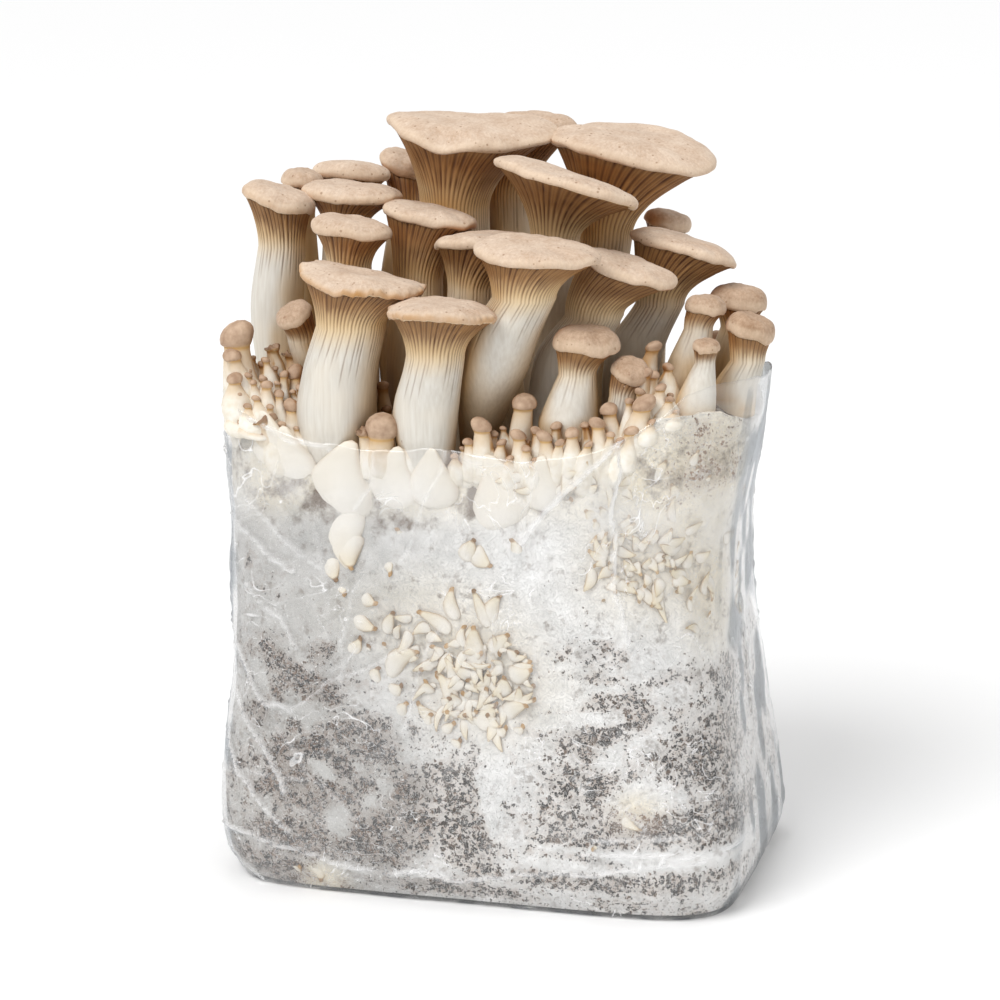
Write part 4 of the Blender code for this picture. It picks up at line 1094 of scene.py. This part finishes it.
def make_cap(number, mushroom):
    """A cap: a rolled rim round a low crown, waved and dented."""
    width = mushroom.width
    edge = edge_of(mushroom)
    under = -edge / 2
    # The crown rises steeply from the rim, then runs nearly flat, and dips a little in the middle
    top = np.sin(np.linspace(math.pi / 2, 0, CAP_ROWS))
    dome = (mushroom.crown + edge * 0.3) * (1 - top ** 3.2) ** 0.52 - mushroom.crown * 0.12 * (1 - top ** 2) ** 2
    rises = [under * down for _, down in RIM_OUTLINE] + list(dome)
    sides, _ = fineness(mushroom)
    bm, share, angle, row = turned([out for out, _ in RIM_OUTLINE] + list(top), sides)
    rise = np.array(rises)[row]
    dent = np.zeros(len(share))
    for owner, place, out, wide, depth in CAP_DENTS:
        if owner == number:
            apart = np.hypot(share * np.cos(angle) - out * math.cos(math.radians(place)),
                             share * np.sin(angle) - out * math.sin(math.radians(place)))
            dent += depth * np.exp(-(apart / wide) ** 2)
    flat = np.stack([share * np.cos(angle) * width / 2, share * np.sin(angle) * width / 2, share * 0 + number * 50],
                    axis=-1)
    over = smooth_step((rise - under) / edge)
    bumps = (0.045 * edge * 3 * drift(flat, 11, 41) + 0.18 * drift(flat, 3.2, 42)) * over
    points = on_cap(mushroom, angle, share, rise + (dent + bumps) * np.where(rise > under + 0.01, 1, 0))
    ring = ring_at(angle)
    rolled = smooth_step((share - 0.90) / 0.09)
    lower = smooth_step((-0.02 * edge - rise) / edge * 2)
    ragged = 0.5 + 0.5 * drift(ring * 6 + number, 1.1, 43)
    dryness = DRY_RIMS.get(number, 0.1)
    dry = dryness * smooth_step((share - 0.9) / 0.08) * smooth_step((edge * 0.5 - rise) / edge * 1.6)
    torn = dryness * rolled * (0.6 * drift(ring * 9 + number, 1.0, 44) + 0.5 * drift(ring * 22 + number, 1.0, 45))
    points[:, 2] += 1.3 * torn
    points[:, :2] += ring[:, :2] * (1.1 * torn)[:, None]
    shape(bm, points, rim=rolled * (0.25 + 0.3 * ragged), dark=DARK_CAPS.get(number, 0.0),
          dry=dry * (0.3 + 0.7 * ragged), under=lower * (share < 0.97))
    # Painted shade: how closely the neighbours wall each point of the cap in
    shape(bm, points, shade=crowding(bm, angle, row, sides))
    fibre_map = bm.loops.layers.uv.new("fibres")
    for face in bm.faces:
        seam = max(angle[vert.index] for vert in face.verts) > math.tau * 0.75
        for loop in face.loops:
            turn = angle[loop.vert.index]
            turn += math.tau if seam and turn < math.tau * 0.25 else 0
            loop[fibre_map].uv = (turn * width / 2, share[loop.vert.index] * width / 2)
    finish(f"cap_{number:02}_dressed", bm, cap_skin, "cap_skin", f"cap_{number:02}")


def make_stem(number, mushroom):
    """A stem: fibrous and full below, with gills that run up its flare to the cap's edge."""
    width = mushroom.width
    first, neck = mushroom.marks[0], mushroom.marks[-1]
    root_height = ground(np.array(first[0]), np.array(first[1])) - ROOT
    rows = [(*first[:2], float(root_height), first[3])]
    rows += [mark for mark in mushroom.marks if mark[2] > root_height + LEAST_APART]
    stem_count = max(LEAST_ROWS, int((neck[2] - root_height) / STEM_STEP))
    _, flare_count = fineness(mushroom)
    body = through(rows, stem_count)
    gills = max(LEAST_GILLS, int(math.pi * neck[3] / GILL_PITCH))
    steps = GILL_STEPS if width >= WIDE_CAP else FEW_GILL_STEPS
    count = stem_count + flare_count
    bm, share, angle, ring_row = turned([0] + [1] * count + [0], gills * steps)
    row = np.clip(ring_row - 1, 0, count - 1)
    ring = ring_at(angle)
    drop = -edge_of(mushroom) / 2 + 0.1
    up = np.clip((row - stem_count + 1) / flare_count, 0, 1)
    body_row = body[np.minimum(row, stem_count - 1)]
    lobes = 1 + 0.05 * drift(ring * 2 + number * 7, 1.5, 51) + 0.03 * drift(
        np.stack([np.cos(angle) * 6, np.sin(angle) * 6, body_row[:, 2] / 4 + number * 9], axis=-1), 3, 52)
    out = ring[:, :2] * (share * lobes * body_row[:, 3] / 2)[:, None]
    plain = np.column_stack([body_row[:, :2] + out, body_row[:, 2]])
    lipped = on_cap(mushroom, angle, LIP * share, drop)
    spread = (up ** 1.9)[:, None]
    points = plain * (1 - spread) + lipped * spread
    points[:, 2] = np.where(up > 0, plain[:, 2] + (lipped[:, 2] - plain[:, 2]) * up, plain[:, 2])
    # The gills: about as many as fit round the neck, with a second set between them nearer the rim
    rise = points[:, 2] - neck[2]
    draw = np.random.default_rng(100 + number)
    phase = angle / math.tau * gills + 0.3 * drift(ring * 4 + number, 1.2, 53)
    owner = np.floor(phase).astype(int) % gills
    within = phase - np.floor(phase)
    away = np.minimum(within, 1 - within)
    line = np.round(phase).astype(int) % gills
    boldness = draw.uniform(0.7, 1.0, gills)[line]
    ends = -neck[3] * draw.uniform(0.05, 0.95, gills)[line]
    worn = 0.86 + 0.28 * drift(points, 4, 54)
    strength = smooth_step((rise - ends) / 9) * np.clip(share, 0, 1)
    first_set = np.exp(-(away / (GAP_WIDTH + GAP_WIDENS * up)) ** 2) * boldness
    second_set = np.exp(-((within - 0.5) / SECOND_WIDTH) ** 2)
    second_set = second_set * smooth_step((up - draw.uniform(0.2, 0.8, gills)[owner]) / 0.12)
    gap = np.clip((first_set + SECOND_STRENGTH * second_set) * strength * worn, 0, 1)
    # Painted shade: the gaps darken more towards the cap, and under darkens the flare below the cap
    shape(bm, points, gap=gap * (0.62 + 0.38 * smooth_step(up * 2.5)),
          gilled=smooth_step((rise + neck[3] * 0.4) / 14),
          foot=smooth_step((rows[0][2] + ROOT + 7 - points[:, 2]) / 9) * 0.6, under=0.85 * smooth_step(up * 1.25))
    # Painted shade where the neighbours wall the stem in, weakened on the stems listed as lit
    shape(bm, points, shade=crowding(bm, angle, ring_row, gills * steps) * LIT_STEMS.get(number, 1.0))
    depth = gap * (0.35 + 0.45 * up) * (0.75 if width < WIDE_CAP else 1.0)
    for vert, sink in zip(bm.verts, depth):
        vert.co -= vert.normal * sink
    finish(f"stem_{number:02}_dressed", bm, stem_flesh, "stem_flesh", f"stem_{number:02}")


for number, mushroom in enumerate(MUSHROOMS, 1):
    make_cap(number, mushroom)
    make_stem(number, mushroom)


# The young mushrooms
# Groups of small mushrooms that stopped growing: pear-shaped white feet, yellowish necks with the first gills, and
# brown button caps. They grew together at the foot.

# Group by group: the cap's x, y and height, its width, the foot's width, and how round the cap is
YOUNG = {
    "young_mushrooms_left": (
        (-98, -34, 213, 12.5, 15, 0.88), (-99, -40, 206, 6.5, 13.5, 0.7), (-96, -44, 198, 6, 14.5, 0.7),
        (-92, -40, 198, 3.2, 10, 0.7), (-89, -43, 196, 2.8, 8.5, 0.7), (-86, -40, 197, 3.4, 10, 0.7),
        (-83, -44, 196, 4.6, 11, 0.7), (-87, -34, 203, 3.4, 11, 0.7), (-87, -26, 207, 6, 12.5, 0.5),
        (-81, -23, 204, 5.2, 12.5, 0.5), (-79, -35, 198, 3.6, 10, 0.8), (-76, -31, 198, 6, 12.5, 1.0),
        (-79, -42, 192, 3.8, 10, 0.8), (-90, -48, 188, 3.2, 14, 0.7), (-74, -43, 188, 5.5, 11.5, 0.9),
        (-84, -49, 185, 8.5, 10, 0.35), (-83, -51, 178, 3, 7, 0.7), (-98, -45, 190, 3.2, 11, 0.7),
        (-94, -46, 192, 2.6, 8.5, 0.7), (-87, -47, 191, 3.2, 10, 0.7), (-81, -47, 188, 3, 10, 0.7),
        (-92, -50, 182, 3, 10, 0.7), (-76, -49, 182, 3.2, 11, 0.7), (-73, -34, 193, 3.4, 11, 0.7),
        (-99, -36, 197, 2.6, 13, 0.7), (-93, -36, 199, 2.4, 12, 0.7), (-87, -38, 197, 2.4, 13, 0.7),
        (-81, -38, 195, 2.6, 12, 0.7), (-75, -38, 192, 2.4, 12, 0.7), (-97, -48, 184, 2.2, 12, 0.7),
        (-88, -50, 180, 2.2, 12, 0.7), (-80, -50, 180, 2.2, 12, 0.7), (-71, -47, 180, 2.2, 12, 0.7),
        (-84, -31, 199, 2.6, 12, 0.7), (-78, -27, 198, 2.6, 12, 0.7), (-94, -28, 202, 2.6, 12, 0.7),
        (-101, -28, 199, 2.4, 11, 0.7), (-69, -38, 188, 2.4, 11, 0.7), (-66, -46, 180, 2.2, 11, 0.7),
        (-70, -42, 184, 3.4, 10, 0.7), (-90, -29, 200, 3.2, 10, 0.7),
    ),
    "young_mushrooms_front_left": (
        (-36, -50, 184, 12, 13, 0.95), (-43.5, -50, 182, 6.5, 10, 0.6), (-25.5, -50, 179, 4.8, 8, 0.6),
        (-40, -49, 169, 3.5, 7, 0.7), (-54, -49, 171, 3.5, 8, 0.7), (-44, -22, 193, 5, 10, 0.7),
        (-41, -27, 185, 4, 9, 0.7), (-18, -49, 171, 3.4, 7, 0.7),
    ),
    "young_mushrooms_front_right": (
        (-6, -46, 176, 2.4, 11, 0.7), (28, -48, 178, 2.4, 11, 0.7), (35, -45, 182, 2.4, 11, 0.7),
        (50, -47, 182, 2.4, 12, 0.7), (58, -44, 188, 2.6, 12, 0.7), (19, -46, 180, 2.4, 11, 0.7),
        (9, -43, 184, 2.6, 10, 0.7), (43, -43, 188, 2.6, 11, 0.7),
        (2, -49, 187, 7.6, 10.5, 0.75), (-3, -50, 180, 4, 8, 0.7), (10, -48, 180, 3.8, 9, 0.7),
        (16, -49, 184, 6, 9.5, 0.7), (20, -51, 179, 3.6, 8, 0.7), (17, -40, 195, 9, 11, 0.7),
        (22.5, -46, 185, 4.4, 9, 0.7), (26.5, -50, 184, 5.9, 9.5, 0.8), (30, -45, 187, 4.4, 8, 0.7),
        (33, -51, 182, 3.6, 8, 0.7), (37, -50, 186, 5.2, 9.5, 0.75), (41, -46, 188, 3.6, 8, 0.7),
        (46, -48, 190, 6, 9.5, 0.75), (49, -42, 194, 6.2, 10.5, 0.75), (52, -50, 186, 3.4, 8, 0.7),
        (56, -50, 184, 3.6, 9, 0.7), (60, -49, 188, 5.4, 10.5, 0.7), (14, -52, 175, 3, 10, 0.7),
        (6, -44, 182, 3.4, 9, 0.7), (44, -51, 182, 3.4, 10, 0.7), (-8, -50, 174, 3, 9, 0.7),
        (24, -52, 175, 2.8, 8.5, 0.7), (38, -47, 181, 3, 10, 0.7), (12, -50, 171, 3, 8, 0.7),
    ),
    "young_mushrooms_right": (
        (64, -40, 196, 2.6, 12, 0.7), (59, -33, 198, 2.6, 11, 0.7), (71, -33, 198, 2.6, 12, 0.7),
        (66, -27, 200, 2.6, 12, 0.7), (75, -42, 194, 2.4, 12, 0.7), (61, -24, 202, 2.6, 11, 0.7),
        (64, -45, 198, 8.2, 12, 0.8), (64, -30, 205, 4.4, 12, 0.7), (62, -20, 214, 6.2, 13.5, 0.7),
        (57, -27, 204, 4, 9, 0.7), (60, -37, 200, 4, 10, 0.7), (68, -37, 202, 4.2, 11, 0.7),
        (68, -24, 207, 4.4, 12, 0.7), (61, -32, 206, 5, 11, 0.7), (57, -41, 197, 3.6, 9, 0.7),
        (72, -39, 198, 3.4, 10, 0.7), (67, -47, 191, 3, 10, 0.7), (54, -35, 201, 3.4, 9, 0.7),
    ),
    "young_mushrooms_back": (
        (82, 36, 210, 9, 14, 0.7), (74, 39, 206, 6, 13.5, 0.7), (66, 43, 204, 5, 13, 0.7), (90, 33, 203, 5, 11, 0.7),
        (86, 39, 201, 4, 10, 0.7), (70, 36, 200, 4, 10, 0.7), (78, 42, 198, 4, 11, 0.7),
    ),
}
# The old caps that dried, curled and tore: the group and its place in it
TORN = {
    ("young_mushrooms_left", 8), ("young_mushrooms_left", 9), ("young_mushrooms_left", 15),
    ("young_mushrooms_front_left", 1), ("young_mushrooms_front_left", 2),
}
# How far each foot stands in from the place under its cap, how deep it is rooted, and how far the pin may lean
FOOT_IN = 0.95
PIN_ROOT = 3
PIN_LEAN = 0.16
PIN_SIDES = 24
# The outline of the foot and neck from the ground up: shares of the foot's width, of the waist's, and of the neck's
# height
NECK_OUTLINE = (
    (0, 0, 0), (0.38, 0, 0), (0.48, 0, 0.12), (0.5, 0, 0.28), (0.49, 0, 0.42), (0.43, 0.08, 0.57),
    (0.30, 0.30, 0.71), (0.14, 0.66, 0.84), (0, 1, 0.95),
)
# The cap's outline from its lower edge to its crown, for a low cap and for a round one
DOME_RISES = (0, 0.08, 0.22, 0.40, 0.58, 0.76, 0.92, 1)
LOW_DOME = np.array((0.46, 0.50, 0.52, 0.505, 0.45, 0.35, 0.19, 0))
ROUND_DOME = np.array((0.40, 0.46, 0.51, 0.53, 0.505, 0.42, 0.25, 0))

# Young flesh: white foot, yellowish neck, and a matte brown button cap, with a mottle about 3 mm wide. Painted shade
# darkens it to brown where its neighbours wall it in.
young_flesh, tree, output = new_material("young_flesh")
place = add(tree, "ShaderNodeTexCoord").outputs["Object"]
cap_part, neck_part, torn_part, shade_part = [
    add(tree, "ShaderNodeAttribute", attribute_name=mark).outputs["Fac"] for mark in ("cap", "neck", "torn", "shade")]
mottle = add(tree, "ShaderNodeTexNoise", {"Vector": place, "Scale": 300.0, "Detail": 3.0})
white = add(tree, "ShaderNodeValToRGB", {"Fac": mottle}, stops=((0.3, "#E4DBC9"), (0.7, "#F2EEE5")))
necked = add(tree, "ShaderNodeMixRGB", (neck_part, white, "#C8A064"))
brown = add(tree, "ShaderNodeValToRGB", {"Fac": mottle}, stops=((0.3, "#A2836A"), (0.7, "#C8AC92")))
capped = add(tree, "ShaderNodeMixRGB", (cap_part, necked, brown))
torn = add(tree, "ShaderNodeMixRGB", (torn_part, capped, "#6E4A2C"))
# Painted shade: brown darkening where the neighbours wall the pin in
shade_tint = add(tree, "ShaderNodeValToRGB", (shade_part,), stops=(
    (0.42, "#FFFFFF"), (1.0, "#94662F"), (0.78, "#D9B98E")))
shaded = add(tree, "ShaderNodeMixRGB", (1.0, torn, shade_tint), blend_type="MULTIPLY")
bump = add(tree, "ShaderNodeBump", {"Strength": 0.3, "Distance": 0.0003, "Height": mottle})
shader = add(tree, "ShaderNodeBsdfPrincipled", {"Base Color": shaded, "Roughness": 0.65, "Normal": bump})
tree.links.new(shader.outputs["BSDF"], output.inputs["Surface"])


def add_pin(bm, place, seed, torn):
    """Adds one young mushroom, with its foot in the block. An old one's cap is torn and curled."""
    x, y, height, cap, foot, ball = place
    draw = np.random.default_rng(700 + seed)
    root = float(ground(np.array(x * FOOT_IN), np.array(y * FOOT_IN))) - PIN_ROOT
    tall = max(height - root, cap + 3)
    neck = tall - cap * 0.45
    high = cap * ball * 0.9
    waist = cap * 0.40
    roundness = min(max((ball - 0.5) / 0.4, 0), 1)
    dome = ROUND_DOME * roundness + LOW_DOME * (1 - roundness)
    rings = [(foot * wide + waist * slim, neck * up) for wide, slim, up in NECK_OUTLINE]
    rings += [(waist * 1.02, neck - cap * 0.02)]
    rings += [(cap * out, neck + high * up) for out, up in zip(dome, DOME_RISES)]
    skin, radius, turn, row = turned([out for out, _ in rings], PIN_SIDES)
    rise = np.array([height for _, height in rings])[row]
    on_top = smooth_step((rise - neck) / (cap * 0.12))
    ring = np.stack([np.cos(turn) * 3, np.sin(turn) * 3, rise / 3 + seed * 11], axis=-1)
    rough = 1 + 0.07 * drift(ring, 2, 61) + torn * on_top * 0.5 * drift(ring, 1.3, 62)
    hollow = 0.25 * (1 - radius / cap * 2) * (radius < cap * 0.5)
    rise = rise + torn * on_top * cap * (0.3 * drift(ring, 1.6, 63) - hollow)
    part = rise / tall
    lean = FOOT_IN + (1 - FOOT_IN) * part
    tip_x, tip_y = draw.uniform(-PIN_LEAN, PIN_LEAN, 2) * tall
    bend = part * (1 - part)
    tilt_x, tilt_y = draw.uniform(-0.3, 0.3, 2)
    across, along = np.cos(turn) * radius * rough, np.sin(turn) * radius * rough
    over = rise + on_top * (across * tilt_x + along * tilt_y)
    points = np.stack([across + x * lean + bend * tip_x * 2, along + y * lean + bend * tip_y, over + root], axis=-1)
    shape(skin, points, cap=smooth_step((rise - neck) / (cap * 0.08)),
          neck=0.6 * smooth_step(1 - (neck - rise) / cap / 1.4) + 0.4 * np.exp(-((rise - neck) / cap / 0.08) ** 2),
          torn=torn * on_top * (0.45 + 0.4 * drift(ring, 1.1, 64)))
    # Painted shade: how closely the neighbours wall each point of the pin in
    shape(skin, points, shade=crowding(skin, turn, row, PIN_SIDES))
    put_in(bm, skin)


seed = 0
for name, places in YOUNG.items():
    bm = bmesh.new()
    for number, place in enumerate(places):
        add_pin(bm, place, seed, float((name, number) in TORN))
        seed += 1
    finish(f"{name}_dressed", bm, young_flesh, "young_flesh", name)
